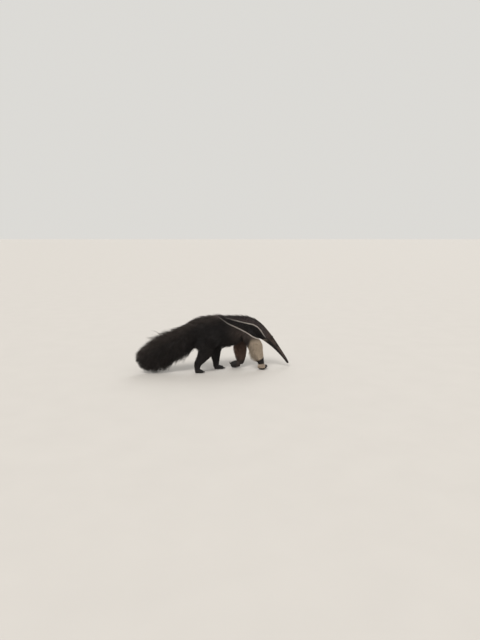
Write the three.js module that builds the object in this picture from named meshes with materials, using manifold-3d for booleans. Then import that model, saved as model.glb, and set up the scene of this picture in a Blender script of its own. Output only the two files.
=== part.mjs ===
// A giant anteater in mid stride, life size, as a still museum model.
// Millimetres. X runs forward along the body, Y to the animal's left, and Z up from the floor.
// The finished group has its origin on the floor, in the middle of the space that it fills.

import * as THREE from 'three';
import { mergeVertices } from 'three/addons/utils/BufferGeometryUtils.js';
import Module from 'manifold-3d';

const wasm = await Module();
wasm.setup();

// Gap left between pieces that touch, how far the upper legs reach in towards the midline, and
// how high the trunk's lowest tips stay above the floor.
const GAP = 0.3;
const HIP_PLANE = 46;
const FLOOR_CLEAR = 1;

// Sides of a cross-section, the share of a rounded end at which it has a ring, the least share
// of a step between rings, and the shortest edge that a joined solid keeps.
const BODY_SIDES = 14;
const LEG_SIDES = 11;
const FOOT_SIDES = 9;
const ROUNDING = 0.72;
const NEAREST_RINGS = 0.06;
const SHORTEST_EDGE = 0.1;

// Steps in which a curve's length is measured, and how far to each side a slope is taken, along
// it and round it.
const LENGTH_STEPS = 400;
const SLOPE_ALONG = 0.004;
const SLOPE_ROUND = 0.05;

// The space behind a seam: how far it stands off the skin, the length over which it opens past
// the locks, and how wide it is then.
const SEAM_LIFT = 4;
const SEAM_OPENING = 12;
const WIDE_OPEN = 320;

// Rounded ends of the nose, tail bone, legs and feet, and how far past the knee or elbow the
// upper leg ends.
const NOSE_ROUND = 13;
const TAIL_ROUND = 16;
const LEG_TOP = 30;
const FOOT_ROUND = 12;
const JOINT_PAST = 0.15;

// The body from the nose to the end of the tail bone. Each station is the middle of a
// cross-section, how far flesh and dense underfur reach from it to the back, belly and side,
// and how much further the tips of the coat reach there.
const BODY = [
  { name: 'nose', at: [905, 0, 57], over: 14, under: 14, side: 15, coat: [0, 0, 0] },
  { name: 'lips', at: [872, 0, 108], over: 19, under: 18, side: 18, coat: [0, 0, 0] },
  { name: 'muzzle', at: [818, 0, 184], over: 24, under: 27, side: 23, coat: [0, 0, 0] },
  { name: 'eye', at: [757, 0, 262], over: 33, under: 39, side: 32, coat: [0, 0, 0] },
  { name: 'ear', at: [691, 0, 340], over: 44, under: 57, side: 42, coat: [0, 0, 0] },
  { name: 'nape', at: [623, 0, 408], over: 54, under: 75, side: 53, coat: [5, 0, 0] },
  { name: 'neck', at: [549, 0, 457], over: 70, under: 88, side: 66, coat: [18, 4, 5] },
  { name: 'withers', at: [470, 0, 483], over: 92, under: 110, side: 82, coat: [34, 18, 14] },
  { name: 'shoulder', at: [385, 0, 490], over: 102, under: 130, side: 98, coat: [50, 28, 16] },
  { name: 'ribs', at: [280, 0, 485], over: 110, under: 145, side: 112, coat: [52, 46, 20] },
  { name: 'barrel', at: [170, 0, 480], over: 120, under: 150, side: 118, coat: [52, 60, 22] },
  { name: 'loin', at: [60, 0, 480], over: 128, under: 150, side: 118, coat: [52, 72, 24] },
  { name: 'hips', at: [-50, 0, 480], over: 128, under: 148, side: 114, coat: [50, 66, 24] },
  { name: 'rump', at: [-152, 0, 468], over: 116, under: 130, side: 96, coat: [48, 48, 26] },
  { name: 'tail_root', at: [-240, 0, 436], over: 88, under: 96, side: 70, coat: [50, 60, 34] },
  { name: 'tail_swell', at: [-330, 0, 392], over: 72, under: 82, side: 56, coat: [76, 108, 38] },
  { name: 'tail_upper', at: [-430, 0, 342], over: 64, under: 76, side: 50, coat: [110, 134, 42] },
  { name: 'tail_half', at: [-535, 0, 292], over: 58, under: 72, side: 46, coat: [122, 150, 46] },
  { name: 'tail_lower', at: [-640, 0, 240], over: 50, under: 62, side: 40, coat: [122, 172, 48] },
  { name: 'tail_thin', at: [-730, 0, 194], over: 36, under: 44, side: 30, coat: [112, 160, 50] },
  { name: 'tail_end', at: [-790, 0, 160], over: 20, under: 24, side: 18, coat: [88, 126, 50] },
];

// The legs from the trunk to the wrist or ankle. Here over is the rear side, under the front.
const LEGS = {
  hind_right: [
    { name: 'hip', at: [-95, -66, 430], over: 88, under: 106, side: 63, coat: [10, 0, 7] },
    { name: 'thigh', at: [-88, -80, 345], over: 84, under: 106, side: 66, coat: [50, 0, 8] },
    { name: 'knee', at: [-80, -88, 258], over: 70, under: 86, side: 55, coat: [62, 0, 7] },
    { name: 'calf', at: [-126, -88, 172], over: 48, under: 58, side: 42, coat: [26, 0, 4] },
    { name: 'ankle', at: [-170, -86, 106], over: 38, under: 41, side: 33, coat: [12, 0, 2] },
    { name: 'instep', at: [-180, -84, 58], over: 33, under: 34, side: 29, coat: [2, 0, 1] },
    { name: 'sole', at: [-180, -84, 30], over: 31, under: 34, side: 28, coat: [0, 0, 0] },
  ],
  hind_left: [
    { name: 'hip', at: [-80, 66, 430], over: 88, under: 106, side: 63, coat: [10, 0, 7] },
    { name: 'thigh', at: [-28, 78, 345], over: 84, under: 106, side: 66, coat: [50, 0, 8] },
    { name: 'knee', at: [36, 78, 256], over: 66, under: 76, side: 55, coat: [62, 34, 7] },
    { name: 'calf', at: [56, 72, 172], over: 44, under: 48, side: 42, coat: [40, 10, 4] },
    { name: 'ankle', at: [58, 68, 106], over: 38, under: 42, side: 33, coat: [12, 0, 2] },
    { name: 'instep', at: [56, 66, 58], over: 33, under: 36, side: 29, coat: [2, 0, 1] },
    { name: 'sole', at: [56, 66, 30], over: 32, under: 36, side: 28, coat: [0, 0, 0] },
  ],
  front_right: [
    { name: 'shoulder', at: [398, -66, 435], over: 72, under: 82, side: 54, coat: [8, 0, 6] },
    { name: 'arm', at: [446, -74, 350], over: 66, under: 90, side: 54, coat: [20, 0, 6] },
    { name: 'elbow', at: [492, -76, 278], over: 58, under: 90, side: 48, coat: [34, 0, 5] },
    { name: 'forearm', at: [514, -72, 214], over: 56, under: 77, side: 44, coat: [50, 0, 4] },
    { name: 'shaft', at: [542, -68, 150], over: 44, under: 56, side: 38, coat: [62, 0, 3] },
    { name: 'wrist', at: [562, -65, 98], over: 36, under: 40, side: 34, coat: [6, 0, 1] },
    { name: 'palm', at: [570, -64, 44], over: 38, under: 36, side: 33, coat: [0, 0, 0] },
  ],
  front_left: [
    { name: 'shoulder', at: [392, 66, 435], over: 72, under: 82, side: 54, coat: [8, 0, 6] },
    { name: 'arm', at: [372, 74, 350], over: 68, under: 80, side: 54, coat: [20, 0, 6] },
    { name: 'elbow', at: [350, 76, 272], over: 60, under: 82, side: 48, coat: [36, 0, 5] },
    { name: 'forearm', at: [348, 74, 200], over: 50, under: 78, side: 44, coat: [36, 0, 4] },
    { name: 'shaft', at: [352, 72, 130], over: 44, under: 62, side: 38, coat: [28, 0, 3] },
    { name: 'wrist', at: [350, 70, 88], over: 44, under: 48, side: 35, coat: [12, 0, 1] },
    { name: 'palm', at: [340, 70, 58], over: 40, under: 38, side: 32, coat: [0, 0, 0] },
  ],
};

// The hands and feet, each from its front end back. Here over is the top, and what would reach
// below the floor is cut off flat. The left hand is lifted and trails behind its wrist.
const FEET = {
  hind_right: [
    { name: 'ball', at: [-126, -86, 17], over: 17, under: 19, side: 33 },
    { name: 'arch', at: [-164, -85, 24], over: 26, under: 26, side: 29 },
    { name: 'heel', at: [-198, -84, 24], over: 24, under: 26, side: 22 },
  ],
  hind_left: [
    { name: 'ball', at: [134, 68, 17], over: 17, under: 19, side: 33 },
    { name: 'arch', at: [82, 67, 24], over: 26, under: 26, side: 29 },
    { name: 'heel', at: [44, 66, 24], over: 24, under: 26, side: 22 },
  ],
  front_right: [
    { name: 'fingers', at: [622, -65, 36], over: 23, under: 22, side: 31 },
    { name: 'knuckles', at: [584, -64, 32], over: 30, under: 34, side: 33 },
    { name: 'heel', at: [538, -64, 50], over: 26, under: 32, side: 27 },
  ],
  front_left: [
    { name: 'heel', at: [334, 70, 56], over: 36, under: 40, side: 32 },
    { name: 'knuckles', at: [290, 70, 49], over: 43, under: 44, side: 36 },
    { name: 'fingers', at: [248, 70, 46], over: 38, under: 40, side: 33 },
  ],
};

// Claws: where each springs from across the foot, as a share of its half width, its length and
// its thickness at the root.
const HIND_CLAWS = [
  { across: -0.8, length: 24, thick: 9 },
  { across: -0.4, length: 29, thick: 10 },
  { across: 0, length: 31, thick: 10.5 },
  { across: 0.4, length: 29, thick: 10 },
  { across: 0.8, length: 24, thick: 9 },
];
const FRONT_CLAWS = [
  { across: -0.78, length: 30, thick: 9 },
  { across: -0.28, length: 50, thick: 13 },
  { across: 0.28, length: 56, thick: 15 },
  { across: 0.78, length: 28, thick: 9 },
];

// How the claws are carried: the end of the foot that they spring from, the height and reach of
// their roots from there, the direction in which they start and how far they curl on, in
// degrees from straight ahead, and how thick and long the toes are that hold them.
const CARRIAGE = {
  hind_right: { end: 0, rise: -3, out: 12, start: 8, curl: -40, claws: HIND_CLAWS },
  hind_left: { end: 0, rise: -3, out: 12, start: 8, curl: -40, claws: HIND_CLAWS },
  front_right: { end: 0, rise: 9, out: 12, start: -72, curl: -106, claws: FRONT_CLAWS },
  front_left: { end: 1, rise: -2, out: -12, start: 160, curl: -112, claws: FRONT_CLAWS },
};
const TOE_BACK = 26;
const TOE_RISE = 2;
const TOE_PLUMP = 1.55;
const TOE_SETBACK = 9;
const TOE_ROUND = 5;
const TOE_SIDES = 5;
const CLAW_SINK = 5;
const CLAW_STEPS = 3;
const CLAW_SIDES = 6;
const CLAW_FLAT = 0.72;
const CLAW_TAPER = 0.94;
const CLAW_FULLNESS = 1.4;

// Eyes and lids: their angle from the side, how deep the eyeball lies, and how narrow the lids
// stand open.
const EYE_RADIUS = 8;
const EYE_ANGLE = 24;
const EYE_SUNK = 3.6;
const LID_RADIUS = 8.6;
const LID_THICK = 2.4;
const LID_NARROW = 0.72;
const LID_SIDES = [4, 11];

// Ears: each stands out and leans back, and its cup opens out and forward.
const EAR_LENGTH = 44;
const EAR_WIDTH = 38;
const EAR_DEPTH = 13;
const EAR_WALL = 3;
const EAR_SINK = 12;
const EAR_ANGLE = 31;
const EAR_PAST = 0.12;
const EAR_STANDS = { out: 0.72, back: 0.69 };
const EAR_OPENS = { out: 0.55, back: -0.83 };
const EAR_HOLLOW = { out: 0.62, up: 2 };

// Nose and mouth: the nose pad over the tip, the slit under it, the lips and the nostrils.
const NOSE_LENGTH = 12;
const NOSE_BLOCK = { depth: 80, height: 60, width: 90 };
const MOUTH_LENGTH = 30;
const MOUTH_HEIGHT = 1.6;
const MOUTH_BELOW = 5;
const MOUTH_WIDTH = 90;
const LIPS = { length: 24, height: 5, out: 3.6, at: 12.6 };
const LIP_SIDES = [10, 5];
const NOSTRIL = [4.5, 3.2, 2.6];
const NOSTRIL_SIDES = [8, 5];
const NOSTRIL_SIDE = 6.5;
const NOSTRIL_OVER = 3.5;
const NOSTRIL_AHEAD = 10.5;
const BALL_SIDES = [10, 7];

// Locks of long hair. Each kind has its length from root to tip, its width and thickness, how
// far it falls round the body towards the underside, in degrees, and how far it is turned from
// lying flat on the body to standing on edge.
const LOCK_KINDS = {
  mane: { length: 84, width: 36, thick: 11, fall: 4, turn: 30 },
  crest: { length: 134, width: 56, thick: 16, fall: 0, turn: 74 },
  spine: { length: 140, width: 58, thick: 15, fall: 6, turn: 30 },
  cape: { length: 158, width: 84, thick: 16, fall: 14, turn: 6 },
  throat: { length: 96, width: 54, thick: 13, fall: 4, turn: 8 },
  fringe: { length: 132, width: 66, thick: 15, fall: 6, turn: 18 },
  plume: { length: 215, width: 66, thick: 18, fall: 16, turn: 20 },
  curtain: { length: 250, width: 66, thick: 18, fall: 6, turn: 52 },
  trouser: { length: 108, width: 48, thick: 13, fall: 0, turn: 28 },
  feather: { length: 70, width: 34, thick: 11, fall: 0, turn: 62 },
};

// How much locks vary in size, in degrees round the body and in their place in a row; how deep
// their roots are sunk; between which shares of the coat their tips end; the least share of a
// lock's length that runs along the coat; and where and how far out it bends over.
const LOCK_VARIES = 0.14;
const LOCK_STRAYS = 5;
const LOCK_SHIFTS = 0.22;
const LOCK_SUNK = 13;
const LOCK_TIPS = [0.84, 1];
const LOCK_LEAST_TRAVEL = 0.42;
const LOCK_BOW = { along: 0.34, out: 0.82 };

// Sections along a lock, with their shares of its width and thickness.
const LONG_LOCK = 200;
const LONG_SECTIONS = [
  { along: 0, wide: 0.74, thick: 1 },
  { along: 0.45, wide: 1, thick: 0.84 },
  { along: 0.78, wide: 0.62, thick: 0.5 },
];
const SHORT_SECTIONS = [
  { along: 0.06, wide: 0.8, thick: 1 },
  { along: 0.6, wide: 0.96, thick: 0.8 },
];

// How far the tips of the last locks reach past the end of the tail bone, as a rounded end, and
// how much of that they use. The legs' locks end with the leg.
const TAIL_PAST = 70;
const LEG_PAST = 1;
const PAST_USED = 0.9;

// Rows of locks along the body and each leg: the stations that they run between, with a share
// of the way to the next one, the angles round the body, 90 degrees being over and 0 the left
// side, and the distance from lock to lock. The rows of SIDE_ROWS are mirrored onto the right.
const SIDE_ROWS = [
  { kind: 'mane', from: ['nape', 0.2], to: ['withers', 0.4], angles: [72], step: 76 },
  { kind: 'spine', from: ['withers', 0.2], to: ['tail_root', 0.4], angles: [64], step: 132 },
  { kind: 'throat', from: ['neck', 0.2], to: ['shoulder', 0.2], angles: [30, -18, -62], step: 104 },
  { kind: 'cape', from: ['shoulder', 0.2], to: ['tail_root', 0.2], angles: [32, -6, -40], step: 152 },
  { kind: 'fringe', from: ['shoulder', 0], to: ['hips', 0.6], angles: [-72], step: 140 },
  { kind: 'plume', from: ['tail_root', 0.2], to: ['tail_end', 0], angles: [50, 4], step: 118 },
  { kind: 'curtain', from: ['rump', 0.2], to: ['tail_end', 0], angles: [-34, -66], step: 116 },
];
const MIDDLE_ROWS = [
  { kind: 'crest', from: ['neck', 0], to: ['tail_root', 0.6], angles: [90], step: 56 },
  { kind: 'fringe', from: ['withers', 0.4], to: ['hips', 0.4], angles: [-90], step: 150 },
  { kind: 'plume', from: ['tail_root', 0.7], to: ['tail_end', 0], angles: [90], step: 84 },
  { kind: 'curtain', from: ['rump', 0.4], to: ['tail_end', 0], angles: [-90], step: 88 },
];
const HIND_ROWS = [
  { kind: 'trouser', from: ['hip', 0.4], to: ['calf', 0], angles: [90, 58, 124], step: 70 },
  { kind: 'feather', from: ['calf', 0.1], to: ['ankle', 0], angles: [90], step: 38 },
];
const FRONT_ROWS = [
  { kind: 'trouser', from: ['arm', 0.1], to: ['elbow', 0.2], angles: [90], step: 60 },
  { kind: 'feather', from: ['elbow', 0.3], to: ['shaft', 0.3], angles: [66, 90, 114], step: 56 },
];
const LEG_ROWS = {
  hind_right: HIND_ROWS,
  hind_left: HIND_ROWS,
  front_right: FRONT_ROWS,
  front_left: FRONT_ROWS,
};
const SEEDS = { body: 7, hind_right: 11, hind_left: 12, front_right: 13, front_left: 14 };
const STREAM = { times: 1664525, plus: 1013904223, size: 2 ** 32 };

// Seams across the body: the piece in front of each, and how the seam leans back along the coat
// for each mm, so that locks of the piece in front lie over the piece behind.
const FLAT = { slope: 0, reach: -1 };
const SHAGGY = { slope: 0.2, reach: 150 };
const BUSHY = { slope: { over: 0.35, under: 0.8, side: 0.25 }, reach: 190 };
const HAIRY = { slope: { over: 0.35, under: 0, side: 0 }, reach: 90 };
const SEAMS = [
  { piece: 'snout', at: 'muzzle', past: 0.4, finish: 'coat_grey', ...FLAT },
  { piece: 'head', at: 'nape', past: 0.1, finish: 'coat_grey', ...FLAT },
  { piece: 'neck', at: 'withers', past: 0.2, finish: 'coat_black', ...SHAGGY },
  { piece: 'chest', at: 'ribs', past: 0.2, finish: 'coat_black', ...SHAGGY },
  { piece: 'belly', at: 'hips', past: -0.2, finish: 'coat_black', ...SHAGGY },
  { piece: 'rump', at: 'tail_root', past: 0.1, finish: 'coat_black', ...SHAGGY },
  { piece: 'tail_base', at: 'tail_upper', past: 0.3, finish: 'coat_grizzled', ...BUSHY },
  { piece: 'tail_middle', at: 'tail_lower', past: 0.1, finish: 'coat_grizzled', ...BUSHY },
];
const PIECES = [...SEAMS, { piece: 'tail_end', finish: 'coat_grizzled' }];

// The names of each leg's three pieces, from the top down, and their finish.
const LEG_PIECES = {
  hind_right: { names: ['thigh', 'shank', 'foot'], finish: 'coat_black' },
  hind_left: { names: ['thigh', 'shank', 'foot'], finish: 'coat_black' },
  front_right: { names: ['upper_arm', 'forearm', 'hand'], finish: 'coat_pale' },
  front_left: { names: ['upper_arm', 'forearm', 'hand'], finish: 'coat_brown' },
};

// Colours and finishes.
const FINISHES = {
  coat_black: { color: 0x1d1917, roughness: 0.85 },
  coat_grizzled: { color: 0x3c342f, roughness: 0.85 },
  coat_grey: { color: 0x5a4f48, roughness: 0.85 },
  coat_brown: { color: 0x6a5340, roughness: 0.85 },
  coat_pale: { color: 0xcdbfa6, roughness: 0.85 },
  claw_horn: { color: 0x1b1715, roughness: 0.45 },
  eye_dark: { color: 0x0b0908, roughness: 0.12 },
  nose_skin: { color: 0x161313, roughness: 0.5 },
};

const group = new THREE.Group();

// A repeatable stream of random numbers from 0 to 1.
function randomStream(seed) {
  let state = seed;
  return () => {
    state = (state * STREAM.times + STREAM.plus) % STREAM.size;
    return state / STREAM.size;
  };
}

function solidOf(geometry) {
  const bare = geometry.clone();
  bare.deleteAttribute('normal');
  bare.deleteAttribute('uv');
  const merged = mergeVertices(bare, 1e-4);
  const mesh = new wasm.Mesh({
    numProp: 3,
    vertProperties: new Float32Array(merged.attributes.position.array),
    triVerts: new Uint32Array(merged.index.array),
  });
  return new wasm.Manifold(mesh);
}

function geometryOf(solid) {
  const mesh = solid.getMesh();
  const geometry = new THREE.BufferGeometry();
  geometry.setAttribute('position', new THREE.BufferAttribute(mesh.vertProperties, 3));
  geometry.setIndex(new THREE.BufferAttribute(mesh.triVerts, 1));
  return geometry;
}

// Joins solids in pairs, which is quicker for many than one after another.
function joined(solids) {
  let left = solids;
  while (left.length > 1) {
    const pairs = [];
    for (let i = 0; i < left.length; i += 2) {
      pairs.push(i + 1 < left.length ? left[i].add(left[i + 1]) : left[i]);
    }
    left = pairs;
  }
  return left[0];
}

// The largest closed surface of a solid, without hollows or loose scraps.
function mainBody(solid) {
  const bodies = solid.simplify(SHORTEST_EDGE).decompose();
  return bodies.reduce((best, body) => (body.volume() > best.volume() ? body : best));
}

function addNode(name, solid, finish) {
  const geometry = geometryOf(mainBody(solid)).toNonIndexed();
  geometry.computeVertexNormals();
  const material = new THREE.MeshStandardMaterial({
    color: FINISHES[finish].color,
    roughness: FINISHES[finish].roughness,
    metalness: 0,
  });
  const mesh = new THREE.Mesh(geometry, material);
  mesh.name = name;
  group.add(mesh);
}

// A closed surface through rings of equally many points, with a point at each end.
function closedRings(first, rings, last) {
  const sides = rings[0].length;
  const points = [first, ...rings.flat(), last];
  const faces = [];
  for (let j = 0; j < sides; j++) {
    const next = (j + 1) % sides;
    faces.push(0, 1 + j, 1 + next);
    for (let i = 0; i < rings.length - 1; i++) {
      const here = 1 + i * sides;
      const there = here + sides;
      faces.push(here + j, there + j, there + next);
      faces.push(here + j, there + next, here + next);
    }
    const end = 1 + (rings.length - 1) * sides;
    faces.push(end + j, points.length - 1, end + next);
  }
  const geometry = new THREE.BufferGeometry().setFromPoints(points);
  geometry.setIndex(faces);
  return solidOf(geometry);
}

// A bent body or limb whose oval cross-section changes along it. A place on it runs from 0 at
// its first station to 1 at its last.
class Chain {
  constructor(stations, sides) {
    const middles = stations.map(({ at }) => new THREE.Vector3(...at));
    const reaches = stations.map((s) => new THREE.Vector3(s.over, s.under, s.side));
    this.names = stations.map(({ name }) => name);
    this.middle = new THREE.CatmullRomCurve3(middles, false, 'centripetal');
    this.reach = new THREE.CatmullRomCurve3(reaches, false, 'catmullrom');
    const coats = stations.map(({ coat = [0, 0, 0] }) => new THREE.Vector3(...coat));
    this.coat = new THREE.CatmullRomCurve3(coats, false, 'catmullrom');
    this.sides = sides;
    this.step = 1 / (stations.length - 1);
    this.lengths = this.middle.getLengths(LENGTH_STEPS);
  }

  place(name, past = 0) {
    return (this.names.indexOf(name) + past) / (this.names.length - 1);
  }

  distance(place) {
    const last = this.lengths.length - 1;
    const at = THREE.MathUtils.clamp(place, 0, 1) * last;
    const low = Math.min(Math.floor(at), last - 1);
    return THREE.MathUtils.lerp(this.lengths[low], this.lengths[low + 1], at - low);
  }

  placeAt(distance) {
    const at = this.lengths.findIndex((length) => length >= distance);
    return at < 0 ? 1 : at / (this.lengths.length - 1);
  }

  section(place) {
    const t = THREE.MathUtils.clamp(place, 0, 1);
    const along = this.middle.getTangent(t);
    const side = new THREE.Vector3(0, 1, 0).addScaledVector(along, -along.y).normalize();
    const over = new THREE.Vector3().crossVectors(side, along);
    const reach = this.reach.getPoint(t);
    return { middle: this.middle.getPoint(t), along, side, over, reach };
  }

  // The point of a section at an angle from its side, 90 degrees being over. grow adds to the
  // reach over, under and to the side.
  point(section, angle, grow, scale = 1) {
    const { middle, side, over, reach } = section;
    const up = Math.sin(angle) > 0 ? reach.x + grow.over : reach.y + grow.under;
    const out = reach.z + grow.side;
    return middle.clone()
      .addScaledVector(side, Math.cos(angle) * out * scale)
      .addScaledVector(over, Math.sin(angle) * up * scale);
  }

  // The outer end of a coat at a distance along the chain. Past the last station the coat
  // closes as a rounded end does.
  tip(distance, degrees, share, endReach) {
    const total = this.distance(1);
    const past = THREE.MathUtils.clamp(distance - total, 0, endReach * PAST_USED);
    const place = this.placeAt(Math.min(distance, total));
    const section = this.section(place);
    const { over, under, side } = this.coatAt(place);
    const grow = { over: over * share, under: under * share, side: side * share };
    const scale = Math.sqrt(1 - (past / endReach) ** 2);
    return this.point(section, THREE.MathUtils.degToRad(degrees), grow, scale)
      .addScaledVector(section.along, past);
  }

  // Root, outward direction and lie of hair at a place on the skin.
  skin(place, degrees) {
    const none = { over: 0, under: 0, side: 0 };
    const angle = THREE.MathUtils.degToRad(degrees);
    const section = this.section(place);
    const root = this.point(section, angle, none);
    const ahead = this.point(this.section(place + SLOPE_ALONG), angle, none);
    const behind = this.point(this.section(place - SLOPE_ALONG), angle, none);
    const lie = ahead.sub(behind).normalize();
    const around = this.point(section, angle + SLOPE_ROUND, none)
      .sub(this.point(section, angle - SLOPE_ROUND, none)).normalize();
    const normal = new THREE.Vector3().crossVectors(lie, around).normalize();
    return { root, normal, lie };
  }

  coatAt(place) {
    const depth = this.coat.getPoint(THREE.MathUtils.clamp(place, 0, 1));
    return { over: depth.x, under: depth.y, side: depth.z };
  }

  // The solid between two places. grow(place, distance from the start) adds to the reach, round
  // has the lengths of the rounded ends, or 0 for a flat one.
  solid({ from = 0, to = 1, grow = () => 0, round = [0, 0], extra = [] }) {
    const places = [from, to, ...extra];
    for (let at = 0; at <= 1; at += this.step) places.push(at);
    const kept = places
      .filter((at) => at >= from && at <= to)
      .sort((a, b) => a - b)
      .filter((at, i, all) => i === 0 || at - all[i - 1] > this.step * NEAREST_RINGS);
    kept[kept.length - 1] = to;
    const start = this.distance(from);
    const grown = (at) => spread(grow(at, this.distance(at) - start));
    const rings = kept.map((at) => this.ring(this.section(at), grown(at), 1));
    const ends = [from, to].map((at, i) => {
      const section = this.section(at);
      const outward = section.along.clone().multiplyScalar(i ? round[1] : -round[0]);
      if (round[i]) {
        const ring = this.ring(section, grown(at), Math.sqrt(1 - ROUNDING ** 2))
          .map((p) => p.addScaledVector(outward, ROUNDING));
        if (i) rings.push(ring);
        else rings.unshift(ring);
      }
      return section.middle.clone().add(outward);
    });
    return closedRings(ends[0], rings, ends[1]);
  }

  ring(section, grow, scale) {
    const points = [];
    for (let j = 0; j < this.sides; j++) {
      points.push(this.point(section, (j / this.sides) * 2 * Math.PI, grow, scale));
    }
    return points;
  }
}

// One number for all directions, or an object with over, under and side.
function spread(grow) {
  return typeof grow === 'number' ? { over: grow, under: grow, side: grow } : grow;
}

// The space behind a seam. It opens backward along the lie of the coat, so that locks of the
// piece in front lie over the piece behind, and past their tips it is wide open.
function behind(chain, seam, gap) {
  const from = chain.place(seam.at, seam.past);
  const rate = spread(seam.slope);
  const grow = (place, far) => {
    const lift = gap + (far > seam.reach ? WIDE_OPEN : SEAM_LIFT);
    return {
      over: lift + rate.over * far,
      under: lift + rate.under * far,
      side: lift + rate.side * far,
    };
  };
  const opens = chain.distance(from) + seam.reach;
  const extra = seam.reach > 0 ? [opens, opens + SEAM_OPENING].map((d) => chain.placeAt(d)) : [];
  const space = chain.solid({ from, to: 1, grow, round: [0, WIDE_OPEN], extra });
  const { along } = chain.section(from);
  return space.translate(along.clone().multiplyScalar(-gap).toArray());
}

// Parts a chain's pieces from each other at its seams, front to back.
function parted(pieces, seams, chain) {
  return pieces.map((piece, i) => {
    let kept = piece;
    if (i > 0) kept = kept.intersect(behind(chain, seams[i - 1], 0));
    if (i < seams.length) kept = kept.subtract(behind(chain, seams[i], GAP));
    return kept;
  });
}

function raised({ over, under, side }) {
  return { over: over + GAP, under: under + GAP, side: side + GAP };
}

function placed(geometry, matrix) {
  return solidOf(geometry.applyMatrix4(matrix));
}

function frameMatrix(x, y, z, at) {
  return new THREE.Matrix4().makeBasis(x, y, z).setPosition(at);
}

// One lock: a flat tapered blade that rises from under the skin, bends over and lies back along
// the coat, with its tip where the coat ends.
function makeLock(chain, kind, place, degrees, random, endReach) {
  const vary = (share) => 1 + share * (2 * random() - 1);
  const { root, normal, lie } = chain.skin(place, degrees);
  const length = kind.length * vary(LOCK_VARIES);
  const fallen = degrees - kind.fall * Math.cos(THREE.MathUtils.degToRad(degrees));
  const start = chain.distance(place);
  const share = THREE.MathUtils.lerp(LOCK_TIPS[0], LOCK_TIPS[1], random());
  const depth = chain.tip(start, fallen, share, endReach).distanceTo(root);
  const least = length * LOCK_LEAST_TRAVEL;
  const travel = Math.sqrt(Math.max(length ** 2 - depth ** 2, least ** 2));
  const strayed = fallen + LOCK_STRAYS * (2 * random() - 1);
  const end = chain.tip(start + travel, strayed, share, endReach);
  const sunk = root.clone().addScaledVector(normal, -LOCK_SUNK);
  const bow = root.clone().lerp(end, LOCK_BOW.along);
  const rise = depth * LOCK_BOW.out - bow.clone().sub(root).dot(normal);
  bow.addScaledVector(normal, Math.max(rise, 0));
  const path = new THREE.QuadraticBezierCurve3(sunk, bow, end);
  const turn = THREE.MathUtils.degToRad(kind.turn * (random() < 0.5 ? -1 : 1));
  const wide = kind.width * vary(LOCK_VARIES);
  const sections = kind.length > LONG_LOCK ? LONG_SECTIONS : SHORT_SECTIONS;
  const rings = sections.map((ring) => {
    const middle = path.getPoint(ring.along);
    const tangent = path.getTangent(ring.along);
    const across = new THREE.Vector3().crossVectors(tangent, normal).normalize();
    across.applyAxisAngle(tangent, turn);
    const out = new THREE.Vector3().crossVectors(across, tangent);
    const edge = across.multiplyScalar((wide * ring.wide) / 2);
    const ridge = out.multiplyScalar((kind.thick * ring.thick) / 2);
    return [middle.clone().add(edge), middle.clone().add(ridge), middle.clone().sub(edge)];
  });
  const first = sunk.clone().addScaledVector(path.getTangent(0), -LOCK_SUNK / 2);
  return closedRings(first, rings, end);
}

// All locks of the rows on a chain, each with the place of its root.
function makeLocks(chain, rows, seed, endReach) {
  const random = randomStream(seed);
  const locks = [];
  for (const { kind, from, to, angles, step } of rows) {
    const first = chain.distance(chain.place(...from));
    const last = chain.distance(chain.place(...to));
    angles.forEach((degrees, row) => {
      const count = Math.max(1, Math.round((last - first) / step));
      const offset = row % 2 ? 0.5 : 0;
      for (let i = 0; i < count; i++) {
        const shift = offset + LOCK_SHIFTS * (2 * random() - 1);
        const at = THREE.MathUtils.clamp(first + (i + shift) * step, first, last);
        const place = chain.placeAt(at);
        const stray = degrees + LOCK_STRAYS * (2 * random() - 1);
        const solid = makeLock(chain, LOCK_KINDS[kind], place, stray, random, endReach);
        locks.push({ place, solid });
      }
    });
  }
  return locks;
}

// Body
const body = new Chain(BODY, BODY_SIDES);
const bodyCore = body.solid({ round: [NOSE_ROUND, TAIL_ROUND] });
const bodyClear = body.solid({ grow: () => GAP, round: [NOSE_ROUND, TAIL_ROUND + GAP] });
const bothSides = SIDE_ROWS.map((row) => (
  { ...row, angles: [...row.angles, ...row.angles.map((angle) => 180 - angle)] }
));
const bodyLocks = makeLocks(body, [...bothSides, ...MIDDLE_ROWS], SEEDS.body, TAIL_PAST);

// What is left of a leg's solid outside a plane beside the midline.
function outer(solid, toLeft, depth) {
  return solid.trimByPlane([0, toLeft, 0], depth);
}

// A claw that springs from a root and curls on, swollen by grow.
function makeClaw(root, start, curl, claw, grow) {
  const stations = [];
  const point = root.clone();
  for (let i = 0; i <= CLAW_STEPS; i++) {
    const share = i / CLAW_STEPS;
    const angle = THREE.MathUtils.degToRad(start + curl * share);
    const reach = (claw.thick / 2) * (1 - CLAW_TAPER * share ** CLAW_FULLNESS) + grow;
    stations.push({ at: point.toArray(), over: reach, under: reach, side: reach * CLAW_FLAT });
    const step = claw.length / CLAW_STEPS;
    point.add(new THREE.Vector3(Math.cos(angle) * step, 0, Math.sin(angle) * step));
  }
  return new Chain(stations, CLAW_SIDES).solid({});
}

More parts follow.
